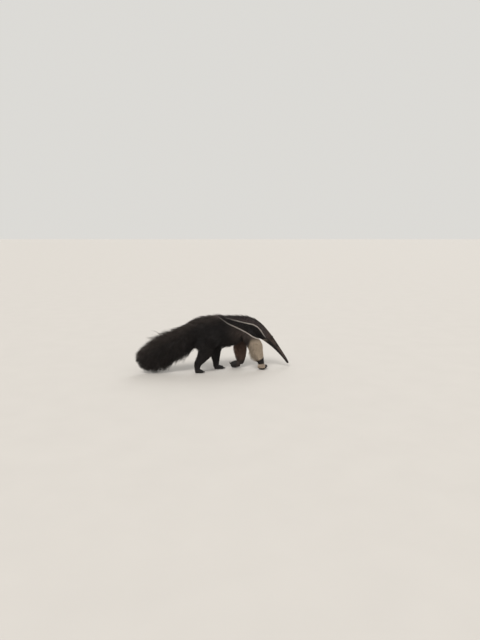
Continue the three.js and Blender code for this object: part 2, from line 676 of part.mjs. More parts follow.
function makeLeg(name, stations) {
  const toLeft = name.endsWith('left') ? 1 : -1;
  const leg = new Chain(stations, LEG_SIDES);
  const foot = new Chain(FEET[name], FOOT_SIDES);
  const joint = stations.find((s) => s.name === 'knee' || s.name === 'elbow').name;
  const end = stations.find((s) => s.name === 'ankle' || s.name === 'wrist').name;
  const core = leg.solid({ round: [LEG_TOP, 0] });
  const coreClear = leg.solid({ grow: () => GAP, round: [LEG_TOP + GAP, 0] });
  const coat = leg.solid({ grow: (at) => leg.coatAt(at), round: [LEG_TOP, 0] });
  const coatClear = leg.solid({ grow: (at) => raised(leg.coatAt(at)), round: [LEG_TOP + GAP, 0] });
  const ends = [0, leg.place(joint, JOINT_PAST), leg.place(end, 0)];
  const locks = makeLocks(leg, LEG_ROWS[name], SEEDS[name], LEG_PAST);
  const locked = [0, 1].map((i) => {
    const own = locks.filter(({ place }) => place >= ends[i] && place < ends[i + 1]);
    const hair = joined(own.map(({ solid }) => solid));
    return core.add(i === 0 ? hair.intersect(coat).subtract(bodyClear) : hair);
  });
  const seams = [{ at: joint, past: JOINT_PAST, ...HAIRY }, { at: end, past: 0, ...FLAT }];
  const carriage = CARRIAGE[name];
  const pad = foot.solid({ round: [FOOT_ROUND, FOOT_ROUND] });
  const section = foot.section(carriage.end);
  const forward = Math.sign(carriage.out);
  const toes = [];
  const claws = [];
  for (const claw of carriage.claws) {
    const setBack = TOE_SETBACK * claw.across * claw.across;
    const root = section.middle.clone().add(new THREE.Vector3(
      carriage.out - forward * setBack,
      section.reach.z * claw.across,
      carriage.rise,
    ));
    const back = root.clone().add(new THREE.Vector3(-forward * TOE_BACK, 0, TOE_RISE));
    const plump = (claw.thick * TOE_PLUMP) / 2;
    const knuckles = [back, root]
      .map((at) => ({ at: at.toArray(), over: plump, under: plump, side: plump }));
    toes.push(new Chain(knuckles, TOE_SIDES).solid({ round: [0, TOE_ROUND] }));
    const angle = THREE.MathUtils.degToRad(carriage.start);
    const sunk = root.clone()
      .addScaledVector(new THREE.Vector3(Math.cos(angle), 0, Math.sin(angle)), -CLAW_SINK);
    claws.push([0, GAP].map((grow) => makeClaw(sunk, carriage.start, carriage.curl, claw, grow)));
  }
  const pieces = parted([...locked, joined([core, pad, ...toes])], seams, leg);
  return {
    upper: outer(pieces[0], toLeft, HIP_PLANE),
    lower: pieces[1],
    foot: pieces[2].subtract(joined(claws.map(([, grown]) => grown)))
      .trimByPlane([0, 0, 1], 0),
    claws: claws.map(([claw]) => claw),
    coreClear: outer(coreClear, toLeft, HIP_PLANE - GAP),
    coatClear: outer(coatClear, toLeft, HIP_PLANE - GAP),
  };
}

// The head's small parts, with what they cut out of it.
function headParts() {
  const section = body.section(0);
  const { middle, along, side, over } = section;
  const mouthAt = middle.clone().addScaledVector(over, -MOUTH_BELOW);
  const basis = frameMatrix(along, over, side, mouthAt);
  const slit = placed(
    new THREE.BoxGeometry(MOUTH_LENGTH * 2, MOUTH_HEIGHT, MOUTH_WIDTH),
    basis.clone(),
  );
  const lipShape = new THREE.SphereGeometry(1, ...LIP_SIDES)
    .scale(LIPS.length, LIPS.height, section.reach.z + LIPS.out);
  const lips = placed(lipShape, frameMatrix(along, over, side,
    mouthAt.clone().addScaledVector(along, LIPS.at)));
  const noseBox = (gap) => {
    const { depth, height, width } = NOSE_BLOCK;
    const shape = new THREE.BoxGeometry(depth, height, width)
      .translate(NOSE_LENGTH + gap - depth / 2, height / 2 + MOUTH_HEIGHT / 2 - gap, 0);
    return placed(shape, basis.clone());
  };
  const nostrils = [-1, 1].map((hand) => placed(
    new THREE.SphereGeometry(1, ...NOSTRIL_SIDES).scale(...NOSTRIL),
    frameMatrix(along, over, side, middle.clone()
      .addScaledVector(along, -NOSTRIL_AHEAD)
      .addScaledVector(side, hand * NOSTRIL_SIDE)
      .addScaledVector(over, NOSTRIL_OVER)),
  ));
  const eyes = {};
  const lids = [];
  const ears = {};
  for (const [hand, eyeAngle, earAngle] of [
    ['left', EYE_ANGLE, EAR_ANGLE],
    ['right', 180 - EYE_ANGLE, 180 - EAR_ANGLE],
  ]) {
    const eye = body.skin(body.place('eye'), eyeAngle);
    const across = new THREE.Vector3().crossVectors(eye.normal, eye.lie);
    const centre = eye.root.clone().addScaledVector(eye.normal, -EYE_SUNK);
    eyes[hand] = [0, GAP].map((gap) => placed(
      new THREE.SphereGeometry(EYE_RADIUS + gap, ...BALL_SIDES),
      frameMatrix(eye.lie, across, eye.normal, centre)));
    lids.push(placed(
      new THREE.TorusGeometry(LID_RADIUS, LID_THICK, ...LID_SIDES).scale(1, LID_NARROW, 1),
      frameMatrix(eye.lie, across, eye.normal, eye.root)));
    const ear = body.skin(body.place('ear', EAR_PAST), earAngle);
    const leaning = ({ out, back }) => ear.normal.clone().multiplyScalar(out)
      .addScaledVector(ear.lie, back).normalize();
    const stand = leaning(EAR_STANDS);
    const open = leaning(EAR_OPENS);
    open.addScaledVector(stand, -open.dot(stand)).normalize();
    const wide = new THREE.Vector3().crossVectors(open, stand);
    const earAt = ear.root.clone().addScaledVector(stand, EAR_LENGTH / 2 - EAR_SINK);
    const matrix = frameMatrix(wide, open, stand, earAt);
    const shell = new THREE.SphereGeometry(1, ...BALL_SIDES)
      .scale(EAR_WIDTH / 2, EAR_DEPTH, EAR_LENGTH / 2);
    const hollow = new THREE.SphereGeometry(1, ...BALL_SIDES)
      .scale(EAR_WIDTH / 2 - EAR_WALL, EAR_DEPTH, EAR_LENGTH / 2 - EAR_WALL)
      .translate(0, EAR_DEPTH * EAR_HOLLOW.out, EAR_HOLLOW.up);
    ears[hand] = placed(shell, matrix.clone())
      .subtract(placed(hollow, matrix.clone()))
      .subtract(bodyClear);
  }
  return { slit, lips, noseBox, nostrils, eyes, lids, ears };
}

const legs = {};
for (const [name, stations] of Object.entries(LEGS)) {
  legs[name] = makeLeg(name, stations);
}
const head = headParts();
const allCoresClear = joined(Object.values(legs).map((leg) => leg.coreClear));
const allCoatsClear = joined(Object.values(legs).map((leg) => leg.coatClear));
const starts = [0, ...SEAMS.map((seam) => body.place(seam.at, seam.past)), Infinity];
const trunkPieces = PIECES.map((piece, i) => {
  const own = bodyLocks.filter(({ place }) => place >= starts[i] && place < starts[i + 1]);
  const core = bodyCore.subtract(allCoresClear);
  if (!own.length) return core;
  return core.add(joined(own.map(({ solid }) => solid)).subtract(allCoatsClear));
});
trunkPieces[0] = joined([bodyCore, head.lips]).subtract(head.slit).subtract(head.noseBox(GAP));
trunkPieces[1] = joined([trunkPieces[1], ...head.lids])
  .subtract(joined([head.eyes.left[1], head.eyes.right[1]]));
parted(trunkPieces, SEAMS, body).forEach((piece, i) => {
  addNode(PIECES[i].piece, piece.trimByPlane([0, 0, 1], FLOOR_CLEAR), PIECES[i].finish);
});
addNode('nose', joined([bodyCore, head.lips]).intersect(head.noseBox(0))
  .subtract(joined(head.nostrils)), 'nose_skin');
for (const hand of ['left', 'right']) {
  addNode(`eye_${hand}`, head.eyes[hand][0], 'eye_dark');
  addNode(`ear_${hand}`, head.ears[hand], 'coat_grey');
}

for (const [name, leg] of Object.entries(legs)) {
  const { names, finish } = LEG_PIECES[name];
  const hand = name.split('_')[1];
  [leg.upper, leg.lower, leg.foot].forEach((solid, i) => {
    addNode(`${names[i]}_${hand}`, solid, finish);
  });
  leg.claws.forEach((claw, i) => addNode(`claw_${name}_${i + 1}`, claw, 'claw_horn'));
}

// Stand the model in the middle of its own space.
const space = new THREE.Box3().setFromObject(group);
const centre = space.getCenter(new THREE.Vector3());
group.position.set(-centre.x, -centre.y, -space.min.z);

export default group;
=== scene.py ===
# A giant anteater in mid stride: skin, coat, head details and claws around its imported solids.
# Sizes are in millimetres in the animal's own frame, turned into metres as meshes are made.
import math

import bmesh
import bpy
import numpy as np
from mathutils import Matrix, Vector
from mathutils.kdtree import KDTree


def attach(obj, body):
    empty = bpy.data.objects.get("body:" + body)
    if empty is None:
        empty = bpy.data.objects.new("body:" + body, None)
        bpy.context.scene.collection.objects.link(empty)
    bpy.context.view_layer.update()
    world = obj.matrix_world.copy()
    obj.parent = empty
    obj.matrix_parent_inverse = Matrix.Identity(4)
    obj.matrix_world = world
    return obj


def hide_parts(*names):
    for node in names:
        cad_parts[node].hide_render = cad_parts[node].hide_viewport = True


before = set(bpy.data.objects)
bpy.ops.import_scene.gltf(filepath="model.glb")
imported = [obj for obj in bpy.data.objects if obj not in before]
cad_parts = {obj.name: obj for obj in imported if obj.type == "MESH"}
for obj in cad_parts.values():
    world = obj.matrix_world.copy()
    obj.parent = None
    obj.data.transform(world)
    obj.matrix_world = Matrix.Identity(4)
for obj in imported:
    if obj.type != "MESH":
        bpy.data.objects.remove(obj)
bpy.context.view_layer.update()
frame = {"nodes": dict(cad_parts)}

RNG = np.random.default_rng(41)

# Where the animal's own frame lies in the row's frame, in mm.
ORIGIN = np.array([-28.733, 0.613, 0.0])

# Stations from the nose to the end of the tail bone: middle (x, z), reach of the core over,
# under and to the side, how much further the coat's tips reach there, and hair lengths there.
BODY = [
    ("nose", 905, 57, 14, 14, 15, 0, 0, 0, 3, 3, 3),
    ("lips", 872, 108, 19, 18, 18, 0, 0, 0, 5, 5, 5),
    ("muzzle", 818, 184, 24, 27, 23, 0, 0, 0, 7, 7, 6),
    ("eye", 757, 262, 33, 39, 32, 0, 0, 0, 10, 10, 8),
    ("ear", 691, 340, 44, 57, 42, 0, 0, 0, 18, 15, 12),
    ("nape", 623, 408, 54, 75, 53, 5, 0, 0, 42, 24, 20),
    ("neck", 549, 457, 70, 88, 66, 18, 4, 5, 74, 46, 40),
    ("withers", 470, 483, 92, 110, 82, 34, 18, 14, 112, 82, 84),
    ("shoulder", 385, 490, 102, 130, 98, 50, 28, 16, 126, 104, 110),
    ("ribs", 280, 485, 110, 145, 112, 52, 46, 20, 132, 124, 134),
    ("barrel", 170, 480, 120, 150, 118, 52, 60, 22, 134, 136, 146),
    ("loin", 60, 480, 128, 150, 118, 52, 72, 24, 136, 146, 150),
    ("hips", -50, 480, 128, 148, 114, 50, 66, 24, 138, 146, 150),
    ("rump", -152, 468, 116, 130, 96, 48, 48, 26, 140, 148, 150),
    ("tail_root", -240, 436, 88, 96, 70, 50, 60, 34, 156, 180, 166),
    ("tail_swell", -330, 392, 72, 82, 56, 76, 108, 38, 190, 226, 192),
    ("tail_upper", -430, 342, 64, 76, 50, 110, 134, 42, 214, 246, 208),
    ("tail_half", -535, 292, 58, 72, 46, 122, 150, 46, 220, 254, 212),
    ("tail_lower", -640, 240, 50, 62, 40, 122, 172, 48, 214, 258, 206),
    ("tail_thin", -730, 194, 36, 44, 30, 112, 160, 50, 200, 240, 190),
    ("tail_end", -790, 160, 20, 24, 18, 88, 126, 50, 180, 210, 170),
]

# Legs from the trunk down: middle (x, y, z), reach behind, in front and to the side, how much
# further tips reach there, and hair lengths there.
LEGS = {
    "hind_right": [
        ("hip", -95, -66, 430, 88, 106, 63, 10, 0, 7, 70, 50, 66),
        ("thigh", -88, -80, 345, 84, 106, 66, 50, 0, 8, 108, 46, 74),
        ("knee", -80, -88, 258, 70, 86, 55, 62, 8, 9, 112, 48, 58),
        ("calf", -126, -88, 172, 48, 58, 42, 26, 6, 6, 66, 32, 38),
        ("ankle", -170, -86, 106, 38, 41, 33, 12, 0, 2, 30, 16, 18),
        ("instep", -180, -84, 58, 33, 34, 29, 2, 0, 1, 13, 11, 11),
        ("sole", -180, -84, 30, 31, 34, 28, 0, 0, 0, 8, 8, 8),
    ],
    "hind_left": [
        ("hip", -80, 66, 430, 88, 106, 63, 10, 0, 7, 70, 50, 66),
        ("thigh", -28, 78, 345, 84, 106, 66, 50, 0, 8, 108, 46, 74),
        ("knee", 36, 78, 256, 66, 76, 55, 62, 34, 9, 112, 84, 58),
        ("calf", 56, 72, 172, 44, 48, 42, 40, 10, 6, 78, 46, 38),
        ("ankle", 58, 68, 106, 38, 42, 33, 12, 0, 2, 30, 16, 18),
        ("instep", 56, 66, 58, 33, 36, 29, 2, 0, 1, 13, 11, 11),
        ("sole", 56, 66, 30, 32, 36, 28, 0, 0, 0, 8, 8, 8),
    ],
    "front_right": [
        ("shoulder", 398, -66, 435, 72, 82, 54, 8, 0, 6, 70, 50, 64),
        ("arm", 446, -74, 350, 66, 90, 54, 20, 0, 6, 70, 34, 48),
        ("elbow", 492, -76, 278, 58, 90, 48, 34, 0, 5, 84, 26, 36),
        ("forearm", 514, -72, 214, 56, 77, 44, 50, 0, 4, 96, 22, 30),
        ("shaft", 542, -68, 150, 44, 56, 38, 62, 0, 3, 84, 16, 22),
        ("wrist", 562, -65, 98, 36, 40, 34, 6, 0, 1, 22, 12, 12),
        ("palm", 570, -64, 44, 38, 36, 33, 0, 0, 0, 8, 8, 8),
    ],
    "front_left": [
        ("shoulder", 392, 66, 435, 72, 82, 54, 8, 0, 6, 70, 50, 64),
        ("arm", 372, 74, 350, 68, 80, 54, 20, 0, 6, 70, 34, 48),
        ("elbow", 350, 76, 272, 60, 82, 48, 36, 0, 5, 78, 26, 36),
        ("forearm", 348, 74, 200, 50, 78, 44, 36, 0, 4, 72, 20, 28),
        ("shaft", 352, 72, 130, 44, 62, 38, 28, 0, 3, 52, 16, 20),
        ("wrist", 350, 70, 88, 44, 48, 35, 12, 0, 1, 24, 12, 12),
        ("palm", 340, 70, 58, 40, 38, 32, 0, 0, 0, 8, 8, 8),
    ],
}

# Hands and feet, from front to back: middle (x, y, z) and reach over, under and to the side.
FEET = {
    "hind_right": [(-126, -86, 17, 17, 19, 33), (-164, -85, 24, 26, 26, 29),
                   (-198, -84, 24, 24, 26, 22)],
    "hind_left": [(134, 68, 17, 17, 19, 33), (82, 67, 24, 26, 26, 29), (44, 66, 24, 24, 26, 22)],
    "front_right": [(622, -65, 36, 23, 22, 31), (584, -64, 32, 30, 34, 33), (538, -64, 50, 26, 32, 27)],
    "front_left": [(334, 70, 56, 36, 40, 32), (290, 70, 49, 43, 44, 36), (250, 70, 46, 34, 36, 30)],
}
# How far a foot's ends bulge past its stations, and the finger end of the lifted hand.
FOOT_ROUND = 10
FIST_ROUND = 20

# Claws: where each springs from across the foot, its length and its thickness at the root.
HIND_CLAWS = [(-0.8, 24, 9), (-0.4, 29, 10), (0, 31, 10.5), (0.4, 29, 10), (0.8, 24, 9)]
FRONT_CLAWS = [(-0.78, 30, 9), (-0.28, 50, 13), (0.28, 56, 15), (0.78, 28, 9)]
# How the claws of each foot stand: at which of its stations, how far above and ahead of its middle,
# the heading at the root in degrees above forward, and how much they curl to the tip.
CARRIAGE = {
    "hind_right": dict(end=0, rise=-3, out=12, start=8, curl=-40, claws=HIND_CLAWS),
    "hind_left": dict(end=0, rise=-3, out=12, start=8, curl=-40, claws=HIND_CLAWS),
    "front_right": dict(end=0, rise=9, out=12, start=-72, curl=-106, claws=FRONT_CLAWS),
    "front_left": dict(end=2, rise=-2, out=-12, start=160, curl=-112, claws=FRONT_CLAWS),
}


def smooth(edge0, edge1, x):
    t = np.clip((x - edge0) / (edge1 - edge0), 0, 1)
    return t * t * (3 - 2 * t)


def mix(a, b, share):
    return a + (b - a) * np.asarray(share)[..., None]


def metres(points):
    return (np.asarray(points) + ORIGIN) / 1000


def millimetres(places):
    return places * 1000 - ORIGIN


def unit(v):
    return v / np.maximum(np.linalg.norm(v, axis=-1, keepdims=True), 1e-9)


class Spline:
    """Rows of values at stations, joined smoothly, as the solids' source joins them."""

    def __init__(self, rows, centripetal=False):
        rows = np.asarray(rows, float)
        first = 2 * rows[:1] - rows[1:2]
        last = 2 * rows[-1:] - rows[-2:-1]
        self.rows = np.vstack([first, rows, last])
        self.centripetal = centripetal
        self.spans = len(rows) - 1

    def __call__(self, t):
        at = np.clip(np.asarray(t, float), 0, 1) * self.spans
        i = np.minimum(at.astype(int), self.spans - 1)
        w = (at - i)[..., None]
        p0, p1, p2, p3 = (self.rows[i + k] for k in range(4))
        if self.centripetal:
            d0, d1, d2 = (
                np.maximum(np.linalg.norm(b - a, axis=-1, keepdims=True), 1e-6) ** 0.5
                for a, b in ((p0, p1), (p1, p2), (p2, p3))
            )
            m1 = ((p1 - p0) / d0 - (p2 - p0) / (d0 + d1) + (p2 - p1) / d1) * d1
            m2 = ((p2 - p1) / d1 - (p3 - p1) / (d1 + d2) + (p3 - p2) / d2) * d1
        else:
            m1 = (p2 - p0) / 2
            m2 = (p3 - p1) / 2
        a = 2 * p1 - 2 * p2 + m1 + m2
        b = -3 * p1 + 3 * p2 - 2 * m1 - m2
        return ((a * w + b) * w + m1) * w + p1


class Chain:
    """A bent body or limb whose oval cross-section changes along it. Its reaches are those of the
    core, its coats go out from there, and its skin lies inside it by the inset."""

    SAMPLES = 400
    BATCH = 20000

    def __init__(self, middles, reaches, coats, hairs, inset):
        self.middle = Spline(middles, centripetal=True)
        self.reach_of = Spline(reaches)
        self.coat_of = Spline(coats)
        self.hair_of = Spline(hairs)
        self.inset_of = Spline(np.asarray(inset, float)[:, None])
        self.t = np.linspace(0, 1, self.SAMPLES + 1)
        self.points = self.middle(self.t)
        steps = np.linalg.norm(np.diff(self.points, axis=0), axis=1)
        self.lengths = np.concatenate([[0], np.cumsum(steps)])
        self.total = self.lengths[-1]
        self.along = unit(np.gradient(self.points, axis=0))

    def section(self, t):
        along = unit(np.stack([np.interp(t, self.t, self.along[:, k]) for k in range(3)], -1))
        side = unit(np.array([0, 1.0, 0]) - along * along[..., 1:2])
        over = np.cross(side, along)
        return self.middle(t), along, side, over

    def point(self, t, angle, extra=0.0, share=None, scale=1.0):
        """A point at an angle round the section, 90 degrees being over. share is how far out
        through the coat it lies; without it the point is on the core, moved out by extra."""
        middle, _, side, over = self.section(t)
        reach = self.reach_of(t)
        if share is None:
            grow = np.asarray(extra)[..., None] * np.ones(3)
        else:
            inset = self.inset_of(t)
            grow = -inset + (inset + self.coat_of(t)) * np.asarray(share)[..., None]
        full = reach + grow
        up = np.where(np.sin(angle) > 0, full[..., 0], full[..., 1])
        out = np.cos(angle) * full[..., 2] * scale
        rise = np.sin(angle) * up * scale
        return middle + side * out[..., None] + over * rise[..., None]

    def place(self, points):
        """The place along the chain, angle and relative distance from its middle of points."""
        t = np.empty(len(points))
        for a in range(0, len(points), self.BATCH):
            some = slice(a, a + self.BATCH)
            d = ((points[some, None, :] - self.points[None, ::4, :]) ** 2).sum(-1)
            t[some] = self.t[::4][d.argmin(1)]
        for _ in range(3):
            middle, along, side, over = self.section(t)
            ahead = ((points - middle) * along).sum(-1)
            t = np.clip(t + ahead / self.total, 0, 1)
        middle, along, side, over = self.section(t)
        away = points - middle
        ahead = (away * along).sum(-1)
        reach = self.reach_of(t)
        out = (away * side).sum(-1) / reach[:, 2]
        rise = (away * over).sum(-1)
        rise = rise / np.where(rise > 0, reach[:, 0], reach[:, 1])
        angle = np.arctan2(rise, out)
        far = np.sqrt(out ** 2 + rise ** 2 + (ahead / reach[:, 2]) ** 2)
        return t, angle, far


def chain_of(rows, inset):
    """A chain from rows of middle, reach, coat and hair length."""
    return Chain(*([row[i:i + 3] for row in rows] for i in (0, 3, 6, 9)), inset)


BODY_SPANS = len(BODY) - 1
LEG_SPANS = 6
BODY_CHAIN = chain_of([(x, 0, z, *rest) for _, x, z, *rest in BODY],
                      [1.0, 1.4, 2.0, 2.4, 3, 4, 5, 6] + [7] * 12 + [4])
LEG_CHAINS = {name: chain_of([row[1:] for row in rows], [7, 7, 6, 4.5, 3.5, 2.5, 2])
              for name, rows in LEGS.items()}
FOOT_CHAINS = {name: chain_of([(*row, 0, 0, 0, 7, 6, 7) for row in rows], [2] * len(rows))
               for name, rows in FEET.items()}
CHAINS = [BODY_CHAIN, *LEG_CHAINS.values(), *FOOT_CHAINS.values()]
CHAIN_NAMES = ["body", *LEGS, *FEET]


def add(name, data):
    """A new object in the scene."""
    obj = bpy.data.objects.new(name, data)
    bpy.context.scene.collection.objects.link(obj)
    return obj


def mesh_object(name, verts, faces):
    mesh = bpy.data.meshes.new(name)
    mesh.from_pydata([tuple(v) for v in metres(verts)], [], faces)
    mesh.update()
    mesh.polygons.foreach_set("use_smooth", [True] * len(mesh.polygons))
    return add(name, mesh)


def outward(mesh, merge=0.0):
    """Turns a mesh's faces outwards, after points closer than merge are made one."""
    bm = bmesh.new()
    bm.from_mesh(mesh)
    if merge:
        bmesh.ops.remove_doubles(bm, verts=bm.verts, dist=merge)
    bmesh.ops.recalc_face_normals(bm, faces=bm.faces)
    bm.to_mesh(mesh)
    bm.free()


def read(rows, key, width=1, kind=np.float32):
    """One value of every vertex, loop or face, as rows when it has more than one number."""
    values = np.empty(len(rows) * width, kind)
    rows.foreach_get(key, values)
    return values.reshape(-1, width) if width > 1 else values


def closed_rings(first, rings, last):
    """Vertices and faces of a closed surface through rings, with a point at each end."""
    count = len(rings[0])
    verts = np.vstack([first, *rings, last])
    faces = []
    for j in range(count):
        k = (j + 1) % count
        faces.append((0, 1 + j, 1 + k))
        for i in range(len(rings) - 1):
            a = 1 + i * count
            b = a + count
            faces.append((a + j, b + j, b + k, a + k))
        end = 1 + (len(rings) - 1) * count
        faces.append((end + j, len(verts) - 1, end + k))
    return verts, faces


def loft(chain, rings, sides, round_ends):
    """The skin of a chain, inside its core by the inset, with rounded ends."""
    angles = np.linspace(0, 2 * np.pi, sides, endpoint=False)
    made = []
    for t in np.linspace(0.0, 1.0, rings):
        inset = -chain.inset_of(np.array([t]))[0, 0]
        made.append(chain.point(np.full(sides, t), angles, np.full(sides, inset)))
    ends = []
    for t, length, way in ((0.0, round_ends[0], -1), (1.0, round_ends[1], 1)):
        middle, along, _, _ = chain.section(np.array([t]))
        outward_by = along[0] * way * length
        ring = made[0] if way < 0 else made[-1]
        caps = [middle[0] + (ring - middle[0]) * math.sqrt(1 - share ** 2) + outward_by * share
                for share in (0.4, 0.7, 0.9)]
        made = caps[::-1] + made if way < 0 else made + caps
        ends.append(middle[0] + outward_by)
    return closed_rings(ends[0], made, ends[1])


def joined_mesh(parts):
    verts = []
    faces = []
    start = 0
    for v, f in parts:
        verts.append(v)
        faces += [tuple(i + start for i in face) for face in f]
        start += len(v)
    return np.vstack(verts), faces


# How far a toe reaches back from its claw's root, and its thickness as a share of the claw's.
TOE_LENGTH = 26
TOE_PLUMP = 1.5


def toe_roots(name):
    """Root, length and thickness of each claw of a foot."""
    carriage = CARRIAGE[name]
    *middle, _, _, reach = FEET[name][carriage["end"]]
    forward = math.copysign(1, carriage["out"])
    roots = []
    for across, length, thick in carriage["claws"]:
        back = 9 * across * across
        root = np.array(middle, float)
        root += np.array([carriage["out"] - forward * back, reach * across, carriage["rise"]])
        roots.append((root, length, thick))
    return roots


def toes(name):
    """A short plump toe behind each claw of a foot."""
    parts = []
    forward = math.copysign(1, CARRIAGE[name]["out"])
    for root, _, thick in toe_roots(name):
        back = root + np.array([-forward * TOE_LENGTH, 0, 2])
        plump = thick * TOE_PLUMP / 2
        chain = Chain([back, root], [(plump,) * 3] * 2, [(0, 0, 0)] * 2, [(6, 6, 6)] * 2, [0.6] * 2)
        parts.append(loft(chain, 8, 16, (4, 5)))
    return parts


def voxel_skin(parts, voxel, rounds):
    """One closed skin round all the parts, softened where they meet."""
    verts, faces = joined_mesh(parts)
    obj = mesh_object("skin", verts, faces)
    remesh = obj.modifiers.new("remesh", "REMESH")
    remesh.mode = "VOXEL"
    remesh.voxel_size = voxel / 1000
    soften = obj.modifiers.new("soften", "SMOOTH")
    soften.factor = 0.5
    soften.iterations = rounds
    depsgraph = bpy.context.evaluated_depsgraph_get()
    mesh = bpy.data.meshes.new_from_object(obj.evaluated_get(depsgraph))
    obj.modifiers.clear()
    old = obj.data
    obj.data = mesh
    bpy.data.meshes.remove(old)
    mesh.name = "skin"
    return obj


# Rings and sides of each loft, and the skin's mesh size and how often it is softened.
BODY_LOFT = (220, 56)
LEG_LOFT = (90, 40)
FOOT_LOFT = (30, 36)
VOXEL = 4.2
SOFTEN = 5


def make_skin():
    parts = [loft(BODY_CHAIN, *BODY_LOFT, (12, 12))]
    parts += [loft(chain, *LEG_LOFT, (26, 6)) for chain in LEG_CHAINS.values()]
    for name, chain in FOOT_CHAINS.items():
        last = FIST_ROUND if name == "front_left" else FOOT_ROUND
        parts.append(loft(chain, *FOOT_LOFT, (FOOT_ROUND, last)))
        parts += toes(name)
    return voxel_skin(parts, VOXEL, SOFTEN)


def coordinates(mesh):
    return millimetres(read(mesh.vertices, "co", 3).astype(float))


def floored(points):
    """The points, none of them lower than a hair above the floor."""
    points[:, 2] = np.maximum(points[:, 2], 0.2)
    return points


def set_coordinates(mesh, points):
    mesh.vertices.foreach_set("co", metres(points).astype(np.float32).ravel())
    mesh.update()


skin = make_skin()
set_coordinates(skin.data, floored(coordinates(skin.data)))

# Camera, and so the parallax by which the stripes' measured lines are set back onto the flanks.
CAMERA = np.array([-843.0, -6034.0, 1550.0])
TURN = math.radians(11.0)
PITCH = math.radians(8.95)
LENS = 30.375
SENSOR = 36

# Middle lines of the two white stripes, as x and z on the animal's middle plane.
UPPER_STRIPE = np.array([(60, 624), (106, 620), (159, 612), (209, 599), (270, 578), (336, 561),
                         (410, 541), (482, 525), (538, 494), (582, 444), (600, 412), (632, 371),
                         (655, 340)], float)
LOWER_STRIPE = np.array([(60, 628), (87, 623), (155, 567), (205, 534), (266, 507), (378, 448),
                         (437, 411), (478, 380), (534, 357), (560, 348)], float)
# Half a stripe's width, and how far tufts take it from further off.
STRIPE_HALF = 5.0
STRIPE_STRAY = 1.7

BLACK = np.array([0.0075, 0.0062, 0.0068])
TAIL_DARK = np.array([0.0105, 0.0080, 0.0076])
GRIZZLED = np.array([0.040, 0.031, 0.027])
NECK = np.array([0.047, 0.036, 0.036])
MANE = np.array([0.014, 0.0105, 0.010])
SNOUT = np.array([0.066, 0.046, 0.038])
SNOUT_UNDER = np.array([0.011, 0.008, 0.0075])
STRIPE = np.array([0.62, 0.57, 0.52])
SHOULDER = np.array([0.062, 0.047, 0.041])
CREAM = np.array([0.50, 0.41, 0.315])
BAND = np.array([0.010, 0.0072, 0.007])
HAND = np.array([0.36, 0.29, 0.225])
# Painted shade: the far foreleg and hand are pale in the animal's own coat, like the near ones. They
# are darkened here to brown and near black for the body's shadow over them.
FAR_LEG_PAINTED_SHADE = np.array([0.088, 0.052, 0.038])
FAR_HAND_PAINTED_SHADE = np.array([0.026, 0.017, 0.014])
HIND = np.array([0.0095, 0.0075, 0.0075])
TOE = np.array([0.010, 0.008, 0.0075])
NOSE = np.array([0.012, 0.0095, 0.009])


def beside(line, x, z):
    """How far points lie above a line, square to it."""
    slope = np.interp(x, line[:, 0], np.gradient(line[:, 1], line[:, 0]))
    return (z - np.interp(x, line[:, 0], line[:, 1])) / np.sqrt(1 + slope ** 2)


def body_colour(points, angle):
    x, z = on_middle(points)
    above = beside(UPPER_STRIPE, x, z)
    over_lower = beside(LOWER_STRIPE, x, z)
    up = np.sin(angle)
    colour = mix(BLACK, GRIZZLED, 0.85 * smooth(0.25, 0.95, up) * smooth(-300, 150, -x))
    tail = smooth(180, 330, -x)
    colour = mix(colour, mix(TAIL_DARK, GRIZZLED * 0.85, smooth(0.1, 0.95, up)), tail)
    back = smooth(-90, 60, x) * (1 - smooth(120, 260, x)) * smooth(0.72, 0.95, up)
    colour = mix(colour, GRIZZLED * 1.5, back)
    under = (over_lower < 0) * smooth(150, 330, x)
    grey = smooth(-260, -60, over_lower) * smooth(260, 350, z)
    colour = mix(colour, SHOULDER, under * grey * 0.9)
    chest = smooth(430, 520, x) * (1 - smooth(330, 400, z)) * under
    colour = mix(colour, CREAM * 0.6, chest * 0.6)
    front = (over_lower >= 0) * smooth(70, 110, x)
    band = mix(BLACK, NECK, smooth(0, 4, above))
    colour = mix(colour, band, front)
    mane = front * smooth(0, 4, above) * smooth(0.80, 0.97, up) * (1 - smooth(620, 700, x))
    colour = mix(colour, MANE, mane * 0.9)
    head = smooth(600, 680, x)
    face = mix(SNOUT_UNDER, SNOUT, smooth(-0.42, -0.12, up))
    cheek = smooth(-0.1, 0.25, up) * (1 - smooth(0.45, 0.85, up)) * smooth(760, 800, x)
    face = mix(face, SNOUT * 1.25, cheek)
    face = mix(face, SNOUT_UNDER, smooth(860, 900, x) * 0.85)
    return mix(colour, face, head)


def on_middle(points):
    """x and z where the photo's sight line through points on a flank meets the middle plane."""
    share = CAMERA[1] / (CAMERA[1] + np.abs(points[:, 1]))
    return tuple(CAMERA[k] + (points[:, k] - CAMERA[k]) * share for k in (0, 2))


def stripe_lines(points):
    """How far points lie from the upper and the lower stripe, in half widths of the stripe."""
    x, z = on_middle(points)
    far = [beside(line, x, z) / STRIPE_HALF for line in (UPPER_STRIPE, LOWER_STRIPE)]
    return np.stack([*far, np.zeros(len(x))], -1)


def stripe_shares(points):
    """How plainly the upper and the lower stripe show at points."""
    x, z = on_middle(points)
    upper = 0.3 * smooth(150, 190, x) + 0.7 * smooth(220, 330, x)
    upper = upper * (1 - 0.5 * smooth(575, 625, x)) * (1 - smooth(622, 646, x))
    lower = 0.45 * smooth(60, 120, x) + 0.55 * smooth(150, 240, x)
    lower = lower * (1 - smooth(548, 562, x)) * smooth(300, 330, z)
    return np.stack([upper, lower, np.zeros(len(x))], -1)


def set_stripes(mesh, points):
    set_vector(mesh, "lines", stripe_lines(points))
    set_vector(mesh, "shown", stripe_shares(points))


